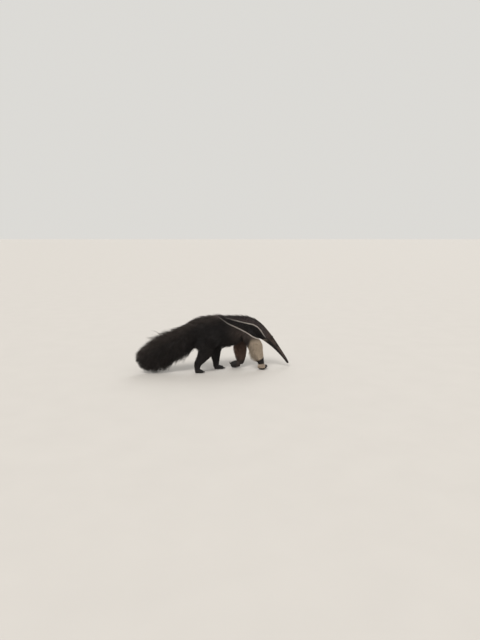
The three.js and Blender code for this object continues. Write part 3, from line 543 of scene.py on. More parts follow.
def leg_colour(name, points, angle):
    z = points[:, 2]
    body = body_colour(points, np.zeros(len(points)))
    if name.startswith("hind"):
        return mix(body, mix(HIND, HIND * 1.5, smooth(150, 60, z)), 1 - smooth(300, 420, z))
    if name == "front_right":
        down = mix(CREAM, CREAM * 0.8, smooth(0.2, 0.9, np.sin(angle)))
        slant = (points[:, 0] - 560) * 0.55
        down = mix(HAND, down, smooth(68, 78, z))
        band = smooth(66 + 0.25 * slant, 74 + 0.25 * slant, z)
        band = band * (1 - smooth(126 + slant, 138 + slant, z))
        down = mix(down, BAND, band)
        shoulder_hair = smooth(424, 398, points[:, 0] - 0.25 * (z - 300)) * smooth(235, 275, z)
        down = mix(down, SHOULDER * 0.6, shoulder_hair)
        return mix(body, down, 1 - smooth(330, 385, z))
    # The far foreleg: painted shade, dark at the hand and brown above it, with less of it towards the
    # back of the leg.
    down = mix(FAR_HAND_PAINTED_SHADE, FAR_LEG_PAINTED_SHADE, smooth(78, 120, z))
    down = mix(down, FAR_LEG_PAINTED_SHADE * 1.6, smooth(0.3, 0.95, np.sin(angle)) * smooth(120, 170, z))
    return mix(body, down, 1 - smooth(330, 410, z))


def foot_colour(name, points, _):
    x, z = points[:, 0], points[:, 2]
    if name.startswith("hind"):
        return mix(HIND * 1.4, TOE, smooth(35, 20, z) * 0.5)
    if name == "front_right":
        return mix(HAND, TOE, np.maximum(smooth(596, 608, x - 0.15 * z), smooth(26, 17, z)))
    # The far hand: painted shade, dark brown over a hand that is pale in its own coat.
    return mix(FAR_HAND_PAINTED_SHADE * 1.2, TOE, smooth(310, 275, x))


def colour_of(which, points, angle):
    """The marking at points, each coloured as the chain it belongs to is."""
    colour = np.zeros((len(points), 3))
    for i, name in enumerate(CHAIN_NAMES):
        own = which == i
        if not own.any():
            continue
        if i == 0:
            colour[own] = body_colour(points[own], angle[own])
        else:
            limb_colour = leg_colour if i <= len(LEGS) else foot_colour
            colour[own] = limb_colour(name, points[own], angle[own])
    return colour


# How far from a chain's line points may lie and still be looked for on it.
SEARCH = 190


def placed(points):
    """For each point, which chain it belongs to and its place on that chain."""
    count = len(points)
    which = np.zeros(count, int)
    best = np.full(count, np.inf)
    t, angle = np.zeros((2, count))
    for i, chain in enumerate(CHAINS):
        low = chain.points.min(0) - SEARCH
        high = chain.points.max(0) + SEARCH
        near = np.flatnonzero(np.all((points > low) & (points < high), axis=1))
        if not len(near):
            continue
        ct, ca, cf = chain.place(points[near])
        closer = cf < best[near]
        hit = near[closer]
        which[hit] = i
        best[hit] = cf[closer]
        t[hit] = ct[closer]
        angle[hit] = ca[closer]
    return which, t, angle


# The unwrap: the body lies along the bottom, with the legs and then the feet side by side over it.
EDGE = 0.01
BODY_ROUND = 0.44
LIMB_ROUND = 0.22


def chart(which, t, angle):
    """Where a place on a chain lies on the flat unwrap of the skin."""
    around = (angle / (2 * np.pi)) % 1
    u = EDGE + 0.96 * t
    v = EDGE + BODY_ROUND * around
    legs = len(LEGS)
    for limb, first, low, high in (((which > 0) & (which <= legs), 1, 0.48, 0.3),
                                   (which > legs, legs + 1, 0.81, 0.12)):
        u = np.where(limb, (which - first) * 0.25 + EDGE + LIMB_ROUND * around, u)
        v = np.where(limb, low + high * t, v)
    return np.stack([u, v], -1)


def set_uv(mesh, corners):
    layer = mesh.uv_layers.new(name="OFBake")
    layer.data.foreach_set("uv", corners.astype(np.float32).ravel())


def set_colour(mesh, name, colour):
    layer = mesh.color_attributes.new(name=name, type="FLOAT_COLOR", domain="POINT")
    full = np.ones((len(colour), 4), np.float32)
    full[:, :3] = colour
    layer.data.foreach_set("color", full.ravel())


def set_number(mesh, name, values):
    layer = mesh.attributes.new(name, "FLOAT", "POINT")
    layer.data.foreach_set("value", np.asarray(values, np.float32))


def set_vector(mesh, name, values):
    layer = mesh.attributes.new(name, "FLOAT_VECTOR", "POINT")
    layer.data.foreach_set("vector", values.astype(np.float32).ravel())


# The head: eyes, lids, mouth, nostrils and ears.
EYE_AT = 3 / BODY_SPANS
EYE_ANGLE = math.radians(24)
EYE_RADIUS = 7.6
EYE_SUNK = 4.6
LID_AT = 7.3
LID_NARROW = 0.68
EAR_AT = 4.12 / BODY_SPANS
EAR_ANGLE = math.radians(31)
EAR_LENGTH = 44
EAR_WIDTH = 38


def on_core(t, angle):
    return BODY_CHAIN.point(np.array([t]), np.array([angle]), np.zeros(1))[0]


def head_frames(t, angle, hands=(1, -1)):
    """Middle, outward, along and across directions on the core's skin, on both sides."""
    frames = []
    for hand in hands:
        a = angle if hand > 0 else math.pi - angle
        at = on_core(t, a)
        lie = unit(on_core(t + 0.004, a) - at)
        out = unit(np.cross(lie, on_core(t, a + 0.03) - at))
        middle = BODY_CHAIN.section(np.array([t]))[0][0]
        if out @ (at - middle) < 0:
            out = -out
        frames.append((at, out, lie, np.cross(out, lie)))
    return frames


EYE_FRAMES = head_frames(EYE_AT, EYE_ANGLE)
TIP_AT, TIP_ALONG, TIP_SIDE, TIP_OVER = (part[0] for part in BODY_CHAIN.section(np.array([0.0])))
NOSTRIL = np.array([4.6, 2.6, 3.4])


def refine(mesh, near):
    """Halves the edges whose both ends are near."""
    bm = bmesh.new()
    bm.from_mesh(mesh)
    bm.verts.ensure_lookup_table()
    wanted = near(millimetres(np.array([v.co for v in bm.verts])))
    edges = [e for e in bm.edges if wanted[e.verts[0].index] and wanted[e.verts[1].index]]
    bmesh.ops.subdivide_edges(bm, edges=edges, cuts=1, use_grid_fill=True, smooth=0)
    bm.to_mesh(mesh)
    bm.free()
    mesh.update()


def from_eyes(points):
    """How far points are from the nearer eye."""
    return np.minimum(*(np.linalg.norm(points - frame[0], axis=1) for frame in EYE_FRAMES))


def near_eyes(radius):
    return lambda points: from_eyes(points) < radius


def near_tip(length):
    return lambda points: (((points - TIP_AT) @ TIP_ALONG < length)
                           & (np.linalg.norm(points - TIP_AT, axis=1) < length + 20))


for near in (near_tip(70), near_tip(34), near_eyes(34), near_eyes(24)):
    refine(skin.data, near)
refine(skin.data, near_tip(20))
refine(skin.data, near_eyes(17))


def shape_head(points, normals):
    """Lids, eye sockets, mouth, nostrils and the folds round them."""
    moved = np.zeros(len(points))
    for at, out, lie, across in EYE_FRAMES:
        away = points - at
        u = away @ lie
        v = away @ across
        flat = np.hypot(u, v)
        close = (np.abs(away @ out) < 22) & (flat < 40)
        e = np.hypot(u, v / LID_NARROW)
        lids = 3.4 * np.exp(-((e - LID_AT) / 2.1) ** 2)
        socket = -5.5 * (1 - smooth(3.9, 6.3, e))
        corner = -1.3 * np.exp(-((v / 1.3) ** 2)) * np.exp(-(((np.abs(u) - 10.2) / 3.2) ** 2))
        hollow = -1.5 * np.exp(-((flat - 15) / 5.5) ** 2)
        folds = 0.55 * np.sin((e - LID_AT) * 2.1) * np.exp(-((e - 14.5) / 3.6) ** 2)
        moved += np.where(close, lids + socket + corner + hollow + folds, 0)
    away = points - TIP_AT
    back = away @ TIP_ALONG
    side = away @ TIP_SIDE
    over = away @ TIP_OVER
    close = (back < 60) & (np.abs(side) < 30) & (np.abs(over) < 40)
    mouth = -2.2 * np.exp(-(((over + 5 + back * 0.03) / 0.9) ** 2)) * (1 - smooth(22, 34, back))
    lips = 0.8 * np.exp(-(((over + 5) / 3.2) ** 2)) * (1 - smooth(20, 32, back))
    pad = 0.7 * (1 - smooth(-2, 4, back)) * smooth(-4, 0, over)
    moved += np.where(close, mouth + lips + pad, 0)
    for hand in (1, -1):
        d = np.stack([(back + 9.5) / NOSTRIL[0], (side - hand * 6.4) / NOSTRIL[1],
                      (over - 3.4) / NOSTRIL[2]], -1)
        far = np.linalg.norm(d, axis=1)
        moved += np.where(close, -4.2 * (1 - smooth(0.45, 1.05, far)), 0)
        moved += np.where(close, 0.7 * np.exp(-((far - 1.35) / 0.28) ** 2), 0)
    return points + normals * moved[:, None]


def normals_of(mesh):
    return read(mesh.vertices, "normal", 3).astype(float)


set_coordinates(skin.data, shape_head(coordinates(skin.data), normals_of(skin.data)))


def ear_frame(hand):
    at, out, lie, _ = head_frames(EAR_AT, EAR_ANGLE, (hand,))[0]
    stand = unit(0.72 * out + 0.69 * lie)
    opens = unit(0.55 * out - 0.83 * lie)
    opens = unit(opens - stand * (opens @ stand))
    return at, stand, opens, np.cross(opens, stand)


def ear_mesh(hand):
    """A thin cup with a rolled rim, open forwards and outwards, its root sunk in the head."""
    at, stand, opens, wide = ear_frame(hand)
    rows, sides = 26, 24
    verts = []
    for layer in (0, 1):
        for i in range(rows):
            up = i / (rows - 1)
            half = EAR_WIDTH / 2 * (0.44 + 0.56 * math.sin(math.pi * min(up * 0.78 + 0.1, 1.0)) ** 0.8)
            half *= math.sqrt(max(1 - max(up - 0.55, 0) ** 2 / 0.2075, 0.004))
            for j in range(sides + 1):
                a = (j / sides - 0.5) * 2
                cup = 11.5 * (1 - abs(a) ** 2.2) * (1 - 0.45 * up)
                rim = 1.5 * math.exp(-((1 - abs(a)) / 0.16) ** 2) * (1 - layer)
                thick = (2.4 - 1.0 * up) * (1 - abs(a) ** 6) if layer else 0
                depth = -cup + rim - thick + 5 - 3.5 * up
                p = at + stand * (up * EAR_LENGTH - 13) + wide * (a * half) + opens * depth
                verts.append(p)
    faces = []
    width = sides + 1
    base = rows * width
    for i in range(rows - 1):
        for j in range(sides):
            a = i * width + j
            faces.append((a, a + 1, a + width + 1, a + width))
            b = base + a
            faces.append((b, b + width, b + width + 1, b + 1))
    for i in range(rows - 1):
        for j in (0, sides):
            a = i * width + j
            b = base + a
            quad = (a, a + width, b + width, b)
            faces.append(quad if j == 0 else quad[::-1])
    for i in (0, rows - 1):
        for j in range(sides):
            a = i * width + j
            b = base + a
            quad = (a, b, b + 1, a + 1)
            faces.append(quad if i == 0 else quad[::-1])
    return np.array(verts), faces


def add_ears(obj):
    """The ears, joined to the skin's mesh."""
    for hand in (1, -1):
        verts, faces = ear_mesh(hand)
        ear = mesh_object("ear", verts, faces)
        outward(ear.data, merge=0.00005)
        both = [obj, ear]
        with bpy.context.temp_override(active_object=obj, object=obj, selected_objects=both,
                                       selected_editable_objects=both):
            bpy.ops.object.join()


add_ears(skin)
mesh = skin.data
mesh.polygons.foreach_set("use_smooth", [True] * len(mesh.polygons))
skin_points = coordinates(mesh)
skin_normals = normals_of(mesh)
which, at_t, at_angle = placed(skin_points)
EAR_SPOTS = [ear_frame(hand) for hand in (1, -1)]


def on_ears(points):
    """How much points belong to an ear."""
    share = np.zeros(len(points))
    for at, stand, opens, wide in EAR_SPOTS:
        away = points - at
        up = away @ stand
        close = (up > 6) & (up < 50) & (np.abs(away @ wide) < 24) & (np.abs(away @ opens) < 20)
        share = np.maximum(share, np.where(close, smooth(6, 14, up), 0))
    return share


def head_extras(points, colour):
    colour = mix(colour, SNOUT * 0.8, on_ears(points) * 0.8)
    colour = mix(colour, SNOUT_UNDER, (1 - smooth(12, 26, from_eyes(points))) * 0.85)
    return mix(colour, NOSE, 1 - smooth(2, 9, (points - TIP_AT) @ TIP_ALONG))


set_colour(mesh, "tint", head_extras(skin_points, colour_of(which, skin_points, at_angle) * 0.85))
# How bare the skin is: fully at the nose and round the eyes.
bare = np.maximum(1 - smooth(1, 8, (skin_points - TIP_AT) @ TIP_ALONG),
                  1 - smooth(9, 12, from_eyes(skin_points)))
set_number(mesh, "bare", bare)
set_stripes(mesh, skin_points)


def skin_corners(mesh):
    """The skin's own unwrap: each face lies whole on the chart of its chain."""
    loops = read(mesh.loops, "vertex_index", kind=np.int32)
    starts = read(mesh.polygons, "loop_start", kind=np.int32)
    owner = np.zeros(len(loops), int)
    owner[starts[1:]] = 1
    owner = np.cumsum(owner)
    chain_at = which[loops[starts]][owner]
    turn = 2 * np.pi
    uv = np.zeros((len(loops), 2))
    for i, chain in enumerate(CHAINS):
        own = np.flatnonzero(chain_at == i)
        if not len(own):
            continue
        unique, inverse = np.unique(loops[own], return_inverse=True)
        t, angle, _ = chain.place(skin_points[unique])
        angle = angle[inverse.ravel()]
        t = t[inverse.ravel()]
        first = np.zeros(len(starts))
        first_loop = own[np.unique(owner[own], return_index=True)[1]]
        first[owner[first_loop]] = (angle[np.searchsorted(own, first_loop)] / turn) % 1
        around = (angle / turn) % 1
        around -= np.round(around - first[owner[own]])
        flat = chart(np.full(len(own), i), t, np.zeros(len(own)))
        flat[:, 1 if i == 0 else 0] += (BODY_ROUND if i == 0 else LIMB_ROUND) * around
        uv[own] = flat
    return uv


set_uv(mesh, np.clip(skin_corners(mesh), 0.001, 0.999))


# Materials.
def material(name, roughness, sheen=0.0, specular=0.4, coat=0.0):
    made = bpy.data.materials.new(name)
    made.use_nodes = True
    shader = made.node_tree.nodes["Principled BSDF"]
    for key, value in (("Roughness", roughness), ("Specular IOR Level", specular),
                       ("Sheen Weight", sheen), ("Coat Weight", coat)):
        shader.inputs[key].default_value = value
    return made, made.node_tree, shader


def node(tree, kind, **values):
    """A node with its settings and inputs, where another node's output is linked in. Inputs are
    given by name, with _ for a space, or by number after _."""
    made = tree.nodes.new(kind)
    for key, value in values.items():
        if hasattr(made, key):
            setattr(made, key, value)
            continue
        socket = made.inputs[int(key[1:]) if key[1:].isdigit() else key.replace("_", " ")]
        if isinstance(value, bpy.types.NodeSocket):
            tree.links.new(value, socket)
        else:
            socket.default_value = value
    return made


def attribute(tree, name):
    return node(tree, "ShaderNodeAttribute", attribute_name=name)


def place_of(tree):
    return node(tree, "ShaderNodeTexCoord").outputs["Object"]


def stretched(tree, vector, scale):
    return node(tree, "ShaderNodeMapping", Scale=scale, Vector=vector).outputs[0]


def noise(tree, vector, scale, detail=3.0):
    return node(tree, "ShaderNodeTexNoise", Scale=scale, Detail=detail, Vector=vector).outputs["Fac"]


def shade(tree, colour, factor, low, high):
    """A colour made darker and lighter as a factor runs from 0 to 1."""
    span = node(tree, "ShaderNodeMapRange", From_Min=0.25, From_Max=0.75, To_Min=low, To_Max=high,
                Value=factor)
    scaled = node(tree, "ShaderNodeVectorMath", operation="SCALE", _0=colour, Scale=span.outputs[0])
    return scaled.outputs[0]


def ramp(tree, factor, *stops):
    """A colour that runs through stops of place, red, green and blue."""
    made = node(tree, "ShaderNodeValToRGB", Fac=factor)
    elements = made.color_ramp.elements
    elements[0].color = (*stops[0][1:], 1)
    elements[1].color = (*stops[-1][1:], 1)
    for place, *colour in stops[1:-1]:
        elements.new(place).color = (*colour, 1)
    return made.outputs["Color"]


def bump(tree, shader, height, strength, distance):
    made = node(tree, "ShaderNodeBump", Strength=strength, Distance=distance, Height=height)
    tree.links.new(made.outputs[0], shader.inputs["Normal"])


def striped(tree, colour):
    """The coat's colour with the two white stripes drawn along their lines."""
    lines, shown = (node(tree, "ShaderNodeSeparateXYZ", _0=attribute(tree, name).outputs["Vector"])
                    for name in ("lines", "shown"))
    for side in ("X", "Y"):
        far = node(tree, "ShaderNodeMath", operation="ABSOLUTE", _0=lines.outputs[side])
        share = node(tree, "ShaderNodeMapRange", interpolation_type="SMOOTHSTEP", From_Min=0.7,
                     From_Max=1.3, To_Min=1.0, To_Max=0.0, Value=far.outputs[0])
        plain = node(tree, "ShaderNodeMath", operation="MULTIPLY", _0=share.outputs[0],
                     _1=shown.outputs[side])
        painted = node(tree, "ShaderNodeMix", data_type="RGBA", Factor=plain.outputs[0], _6=colour,
                       _7=(*STRIPE, 1))
        colour = painted.outputs[2]
    return colour


def fur_material(name, roughness, sheen):
    """Hair colour from the coat's own marking, broken into fine strands along each tuft."""
    made, tree, shader = material(name, roughness, sheen, 0.28)
    tint = striped(tree, attribute(tree, "tint").outputs["Color"])
    fine = noise(tree, attribute(tree, "strand").outputs["Vector"], 2.4, 4.0)
    tree.links.new(shade(tree, tint, fine, 0.62, 1.42), shader.inputs["Base Color"])
    bump(tree, shader, fine, 0.5, 0.0006)
    return made


def skin_material():
    """Hide with short flat hair: streaks along the body, and bare damp skin at nose and lids."""
    made, tree, shader = material("hide", 0.6, 0.1, 0.35)
    tint = striped(tree, attribute(tree, "tint").outputs["Color"])
    bare_at = attribute(tree, "bare").outputs["Fac"]
    unwrap = node(tree, "ShaderNodeUVMap", uv_map="OFBake").outputs[0]
    hairs = noise(tree, stretched(tree, unwrap, (260, 950, 1)), 1.0, 5.0)
    place = place_of(tree)
    pores = noise(tree, place, 900.0, 4.0)
    colour = shade(tree, tint, hairs, 0.55, 1.5)
    colour = shade(tree, colour, noise(tree, place, 38.0, 3.0), 0.82, 1.2)
    tree.links.new(colour, shader.inputs["Base Color"])
    rough = node(tree, "ShaderNodeMapRange", To_Min=0.62, To_Max=0.36, Value=bare_at)
    tree.links.new(rough.outputs[0], shader.inputs["Roughness"])
    both = node(tree, "ShaderNodeMix", data_type="FLOAT", Factor=bare_at, A=hairs, B=pores)
    bump(tree, shader, both.outputs[0], 0.55, 0.0009)
    return made


FUR_LONG = fur_material("long_fur", 0.5, 0.03)
FUR_SHORT = fur_material("short_fur", 0.58, 0.03)
mesh.materials.clear()
mesh.materials.append(skin_material())

# The coat. Each kind of tuft: how far out through the coat its tip lies at least and at most, which
# way that leans (less than 1 is towards the most), how unequal locks are, a tuft's width at the
# root, how much neighbours draw together, how far tips droop and stray round the body in radians,
# and where along a tuft its rings lie.
LONG_RINGS = (0, 0.3, 0.66)
SHORT_RINGS = (0, 0.5)
KIND_KEYS = ("low", "high", "bias", "uneven", "width", "pull", "droop", "twist", "rings")
KINDS = {name: dict(zip(KIND_KEYS, values)) for name, *values in (
    ("tail", 0.2, 1.12, 0.8, 0.13, 2.7, 0.85, 0.5, 0.22, LONG_RINGS),
    ("trunk", 0.25, 1.06, 0.7, 0.1, 2.4, 0.7, 0.6, 0.15, LONG_RINGS),
    ("neck", 0.3, 1.0, 0.65, 0.05, 2.0, 0.4, 0.12, 0.1, LONG_RINGS),
    ("limb", 0.25, 1.08, 0.7, 0.1, 2.1, 0.55, -0.08, 0.12, LONG_RINGS),
    ("short", 0.45, 1.1, 0.65, 0.04, 1.5, 0.3, 0.0, 0.12, SHORT_RINGS),
    ("face", 0.5, 1.15, 0.65, 0.03, 1.15, 0.2, 0.0, 0.1, SHORT_RINGS),
)}
# The lowest that hair hangs, how far tail hair goes past the end of the tail's bone, how far before
# that end the tail starts to round off, a tuft's thickness as a share of its width, how far trunk
# hair lies outside the legs' own, and the share of the tufts that is made.
FLOOR = 1.2
TAIL_PAST = 80.0
ROUND_END = 80.0
THICK = 0.34
LEG_LIFT = 5.0
COUNTS = 1.0

mesh.calc_loop_triangles()
triangles = read(mesh.loop_triangles, "vertices", 3, np.int32)
corners = skin_points[triangles]
crossed = np.cross(corners[:, 1] - corners[:, 0], corners[:, 2] - corners[:, 0])
areas = np.linalg.norm(crossed, axis=1) / 2
# Each triangle's chain and place on it, and how much it is ear and bare skin.
tri_chain = which[triangles[:, 0]]
tri_t = at_t[triangles[:, 0]]
tri_ear = on_ears(corners.mean(1))
tri_bare = bare[triangles].max(1)


def roots(weights, count):
    """Seeded roots spread over the skin in proportion to area and weight."""
    share = np.cumsum(areas * weights)
    at = (np.arange(count) + RNG.random(count)) / count * share[-1]
    picked = np.searchsorted(share, at)
    picked = np.minimum(picked, len(areas) - 1)
    a, b = RNG.random((2, count))
    flip = a + b > 1
    a[flip], b[flip] = 1 - a[flip], 1 - b[flip]
    tri = triangles[picked]
    weight = np.stack([1 - a - b, a, b], -1)[..., None]
    return (skin_points[tri] * weight).sum(1), unit((skin_normals[tri] * weight).sum(1)), picked


def wrapped(angle):
    return (angle + np.pi) % (2 * np.pi) - np.pi


def leaders_of(points, each):
    """For each tuft, the tuft that leads its lock."""
    order = RNG.permutation(len(points))[:max(1, len(points) // each)]
    tree = KDTree(len(order))
    for i, k in enumerate(order):
        tree.insert(points[k], i)
    tree.balance()
    return order[np.array([tree.find(p)[1] for p in points])]


def by_angle(values, angle):
    """A length for over, under and side, joined round the section."""
    up = np.where(np.sin(angle) > 0, values[..., 0], values[..., 1])
    return np.sqrt((np.cos(angle) * values[..., 2]) ** 2 + (np.sin(angle) * up) ** 2)


def blades(base, bend, tip, normal, width, rings):
    """Vertices of closed tapering blades with three sides, from the root to a point."""
    verts = []
    roll = RNG.normal(0, 0.45, len(base))[:, None]
    for u in rings:
        point = base * (1 - u) ** 2 + bend * 2 * u * (1 - u) + tip * u ** 2
        ahead = unit((bend - base) * (1 - u) + (tip - bend) * u)
        across = unit(np.cross(ahead, normal) + 1e-6)
        up = np.cross(across, ahead)
        turned = across * np.cos(roll) + up * np.sin(roll)
        top = up * np.cos(roll) - across * np.sin(roll)
        full = 0.6 + 0.4 * math.sin(math.pi * min(u * 2.2, 1)) if u < 0.4 else 1.12 - 0.6 * u
        half = (width * full / 2)[:, None]
        verts += [point - turned * half, point + top * half * 2 * THICK, point + turned * half]
    verts.append(tip)
    return np.stack(verts, 1)


def blade_faces(count, rings):
    """Triangles of the blades, each ring of three joined to the next and closed at both ends."""
    one = [(0, 1, 2)]
    for r in range(rings - 1):
        for j in range(3):
            a, b = r * 3 + j, r * 3 + (j + 1) % 3
            one += [(a, a + 3, b + 3), (a, b + 3, b)]
    last = (rings - 1) * 3
    one += [(last + j, rings * 3, last + (j + 1) % 3) for j in range(3)]
    step = rings * 3 + 1
    return (np.array(one)[None] + (np.arange(count) * step)[:, None, None]).reshape(-1, 3)


def mesh_of(name, verts, faces):
    made = bpy.data.meshes.new(name)
    made.vertices.add(len(verts))
    made.vertices.foreach_set("co", metres(verts).astype(np.float32).ravel())
    made.loops.add(faces.size)
    made.loops.foreach_set("vertex_index", faces.astype(np.int32).ravel())
    made.polygons.add(len(faces))
    made.polygons.foreach_set("loop_start", np.arange(0, faces.size, 3, dtype=np.int32))
    made.polygons.foreach_set("use_smooth", np.ones(len(faces), bool))
    made.update(calc_edges=True)
    return made


# How large a tuft's patch is on the unwrap.
PATCH = 0.003


def coat_piece(name, verts, kind, places, tints, fur):
    """One object of joined tufts, with its marking, its strands and its patches on the unwrap."""
    rings = len(kind["rings"])
    count = len(verts)
    verts[..., 2] = np.maximum(verts[..., 2], FLOOR)
    faces = blade_faces(count, rings)
    made = mesh_of(name, verts.reshape(-1, 3), faces)
    # Where each vertex lies over its tuft, from side to side and from root to tip.
    across = np.array([-1.0, 0.0, 1.0] * rings + [0.0])
    along = np.array([u for u in kind["rings"] for _ in range(3)] + [1.0])
    spot = chart(*places)
    local = np.stack([across / 2, along - 0.5], -1) * PATCH
    uv = (spot[:, None, :] + local[None]).reshape(-1, 2)
    set_uv(made, np.clip(uv[faces.ravel()], 0.0005, 0.9995))
    set_colour(made, "tint", tints.reshape(-1, 3))
    seed = RNG.random(count) * 900
    strand = np.empty((count, rings * 3 + 1, 3))
    strand[..., 0] = across * 1.3 + seed[:, None]
    strand[..., 1] = along * 1.1 + seed[:, None] * 0.37
    strand[..., 2] = seed[:, None] * 0.11
    set_vector(made, "strand", strand.reshape(-1, 3))
    stray = RNG.normal(0, STRIPE_STRAY, (count, 1, 3))
    set_stripes(made, (verts + stray).reshape(-1, 3))
    made.materials.append(fur)
    obj = add(name, made)
    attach(obj, "root")
    return obj


# How far off a tuft's colour is looked up, how unequal tufts are, and how many have pale tips.
TINT_STRAY = 1.6
TINT_SPREAD = 0.17
PALE_TIPS = 0.3


def tinted(which_chain, verts, angle, angle2, kind, extras=None):
    """The marking at each ring of each tuft, with painted shade darker at roots, and some pale tipped
    hairs.
    """
    count = len(verts)
    tints = np.empty((count, verts.shape[1], 3))
    stray = RNG.normal(0, TINT_STRAY, (count, 3))
    spread = np.exp(RNG.normal(0, TINT_SPREAD, count))[:, None]
    pale_tip = RNG.random(count) < PALE_TIPS
    for i, u in enumerate([*kind["rings"], 1.0]):
        rows = slice(i * 3, i * 3 + 3) if i < len(kind["rings"]) else slice(i * 3, i * 3 + 1)
        middle = verts[:, rows].mean(1) + stray
        colour = colour_of(which_chain, middle, angle + wrapped(angle2 - angle) * u)
        if extras is not None:
            colour = extras(middle, colour)
        light = smooth(0.08, 0.3, colour.mean(1))[:, None]
        # Painted shade: tufts darker towards the root, down in the coat, and a little lighter to the
        # tip; less of it for pale hair.
        shading = (0.62 + 0.55 * u) * (1 - light) + (0.86 + 0.18 * u) * light
        colour = colour * shading * spread
        if u > 0.5:
            tipped = (pale_tip & (light[:, 0] < 0.5))[:, None]
            colour = np.where(tipped, colour * 1.7 + np.array([0.014, 0.010, 0.007]) * u, colour)
        tints[:, rows] = colour[:, None, :]
    return tints


def over_legs(points, lift):
    """Points of hanging hair, moved out sideways from where the legs' own coats lie."""
    moved = points.copy()
    flat = points[:, [0, 2]]
    for chain in LEG_CHAINS.values():
        hand = math.copysign(1, chain.points[0, 1])
        low = chain.points.min(0)[[0, 2]] - 120
        high = chain.points.max(0)[[0, 2]] + 120
        near = np.flatnonzero((points[:, 1] * hand > 50) & np.all((flat > low) & (flat < high), axis=1))
        if not len(near):
            continue
        t, angle, far = chain.place(points[near])
        side = chain.reach_of(t)[:, 2] + chain.coat_of(t)[:, 2] + lift[near]
        out = side * np.sqrt(np.clip(1 - (far * np.sin(angle)) ** 2, 0, 1))
        level = chain.middle(t)[:, 1] * hand + out
        moved[near, 1] = hand * np.maximum(points[near, 1] * hand, np.where(out > 0, level, 0))
    return moved


def tail_end(arc, total, ragged):
    """How far along tips lie, and how much nearer the middle, so that the tail ends round."""
    into = np.clip(arc - (total - ROUND_END), 0, None)
    reach = ROUND_END + TAIL_PAST
    deep = np.minimum(reach * (1 - np.exp(-into / reach)) * ragged, 0.96 * reach)
    scale = (1 - (deep / reach) ** 3) ** 0.45 * (1 + 0.3 * (ragged - 1) * (into > 0))
    return np.where(into > 0, total - ROUND_END + deep, arc), scale


def grow(name, slot, kind_name, weights, count, fur, leaders=9, extras=None):
    """One piece of the coat: count tufts spread by the weights, in locks of about as many as
    leaders says, each run back along its chain and drawn towards its lock's leader."""
    kind = KINDS[kind_name]
    count = int(count * COUNTS)
    base, normal, picked = roots(weights, count)
    chain_at = tri_chain[picked]
    t, angle, t2, angle2, length, past = np.zeros((6, count))
    tip, bend = np.zeros((2, count, 3))
    share = kind["low"] + (kind["high"] - kind["low"]) * RNG.random(count) ** kind["bias"]
    groups = [(i, CHAINS[i], np.flatnonzero(chain_at == i)) for i in np.unique(chain_at)]
    for i, chain, own in groups:
        t[own], angle[own], _ = chain.place(base[own])
        hair = by_angle(chain.hair_of(t[own]), angle[own])
        length[own] = hair * RNG.uniform(0.72, 1.12, len(own))
    lead = leaders_of(base, leaders)
    pull = kind["pull"] * RNG.uniform(0.6, 1.2, count)
    uneven = np.exp(RNG.normal(0, kind["uneven"], count))[lead]
    share = (share + (share[lead] - share) * pull * 0.8) * uneven
    ragged_end = RNG.uniform(0.7, 1.15, count) * uneven ** 2
    twist = RNG.normal(0, kind["twist"], count)
    for i, chain, own in groups:
        way = -1 if i > len(LEGS) and CARRIAGE[CHAIN_NAMES[i]]["end"] == 0 else 1
        depth = chain.inset_of(t[own])[:, 0] + by_angle(chain.coat_of(t[own]), angle[own])
        height = depth * share[own]
        run = np.sqrt(np.maximum(length[own] ** 2 - height ** 2, (0.5 * length[own]) ** 2)) * way
        t2[own] = np.interp(t[own], chain.t, chain.lengths) + run
        droop = kind["droop"]
        if 0 < i <= len(LEGS):
            droop = droop - 0.55 * (1 - smooth(0.2, 2.2, t[own] * LEG_SPANS))
        angle2[own] = angle[own] - droop * np.cos(angle[own]) * share[own] + twist[own]
    together = chain_at[lead] == chain_at
    near = np.abs(wrapped(angle[lead] - angle)) < 1.2
    pull = np.where(together & near, pull, 0)
    t2 = t2 + (t2[lead] - t2) * pull
    angle2 = angle2 + wrapped(angle2[lead] - angle2) * pull
    for i, chain, own in groups:
        arc, scale = t2[own], np.ones(len(own))
        if i == 0:
            arc, scale = tail_end(arc, chain.total, ragged_end[own])
        past[own] = np.clip(arc - chain.total, 0, 3.0 if i else None) + np.clip(arc, -3.0, 0)
        t2[own] = np.interp(arc, chain.lengths, chain.t)
        along = chain.section(t2[own])[1]
        tip[own] = chain.point(t2[own], angle2[own], share=share[own], scale=scale)
        tip[own] += along * past[own][:, None]
        t1 = t[own] + 0.42 * (t2[own] - t[own])
        angle1 = angle[own] + 0.4 * wrapped(angle2[own] - angle[own])
        bend[own] = chain.point(t1, angle1, share=share[own] * 0.82)
    if kind_name == "trunk":
        tip = over_legs(tip, share * LEG_LIFT)
        bend = over_legs(bend, share * LEG_LIFT * 0.7)
    width = kind["width"] * (1.0 / math.sqrt(COUNTS)) * RNG.uniform(0.7, 1.3, count)
    verts = blades(base - normal * 1.2, bend, tip, normal, width, kind["rings"])
    tints = tinted(chain_at, verts, angle, angle2, kind, extras)
    return coat_piece(name, verts, kind, (chain_at, t, angle), tints, fur)


def body_part(low, high):
    at = tri_t * BODY_SPANS
    return ((tri_chain == 0) & (at >= low) & (at < high) & (tri_ear < 0.3)).astype(float)


def leg_part(name, low, high):
    at = tri_t * LEG_SPANS
    return ((tri_chain == CHAIN_NAMES.index(name)) & (at >= low) & (at < high)).astype(float)


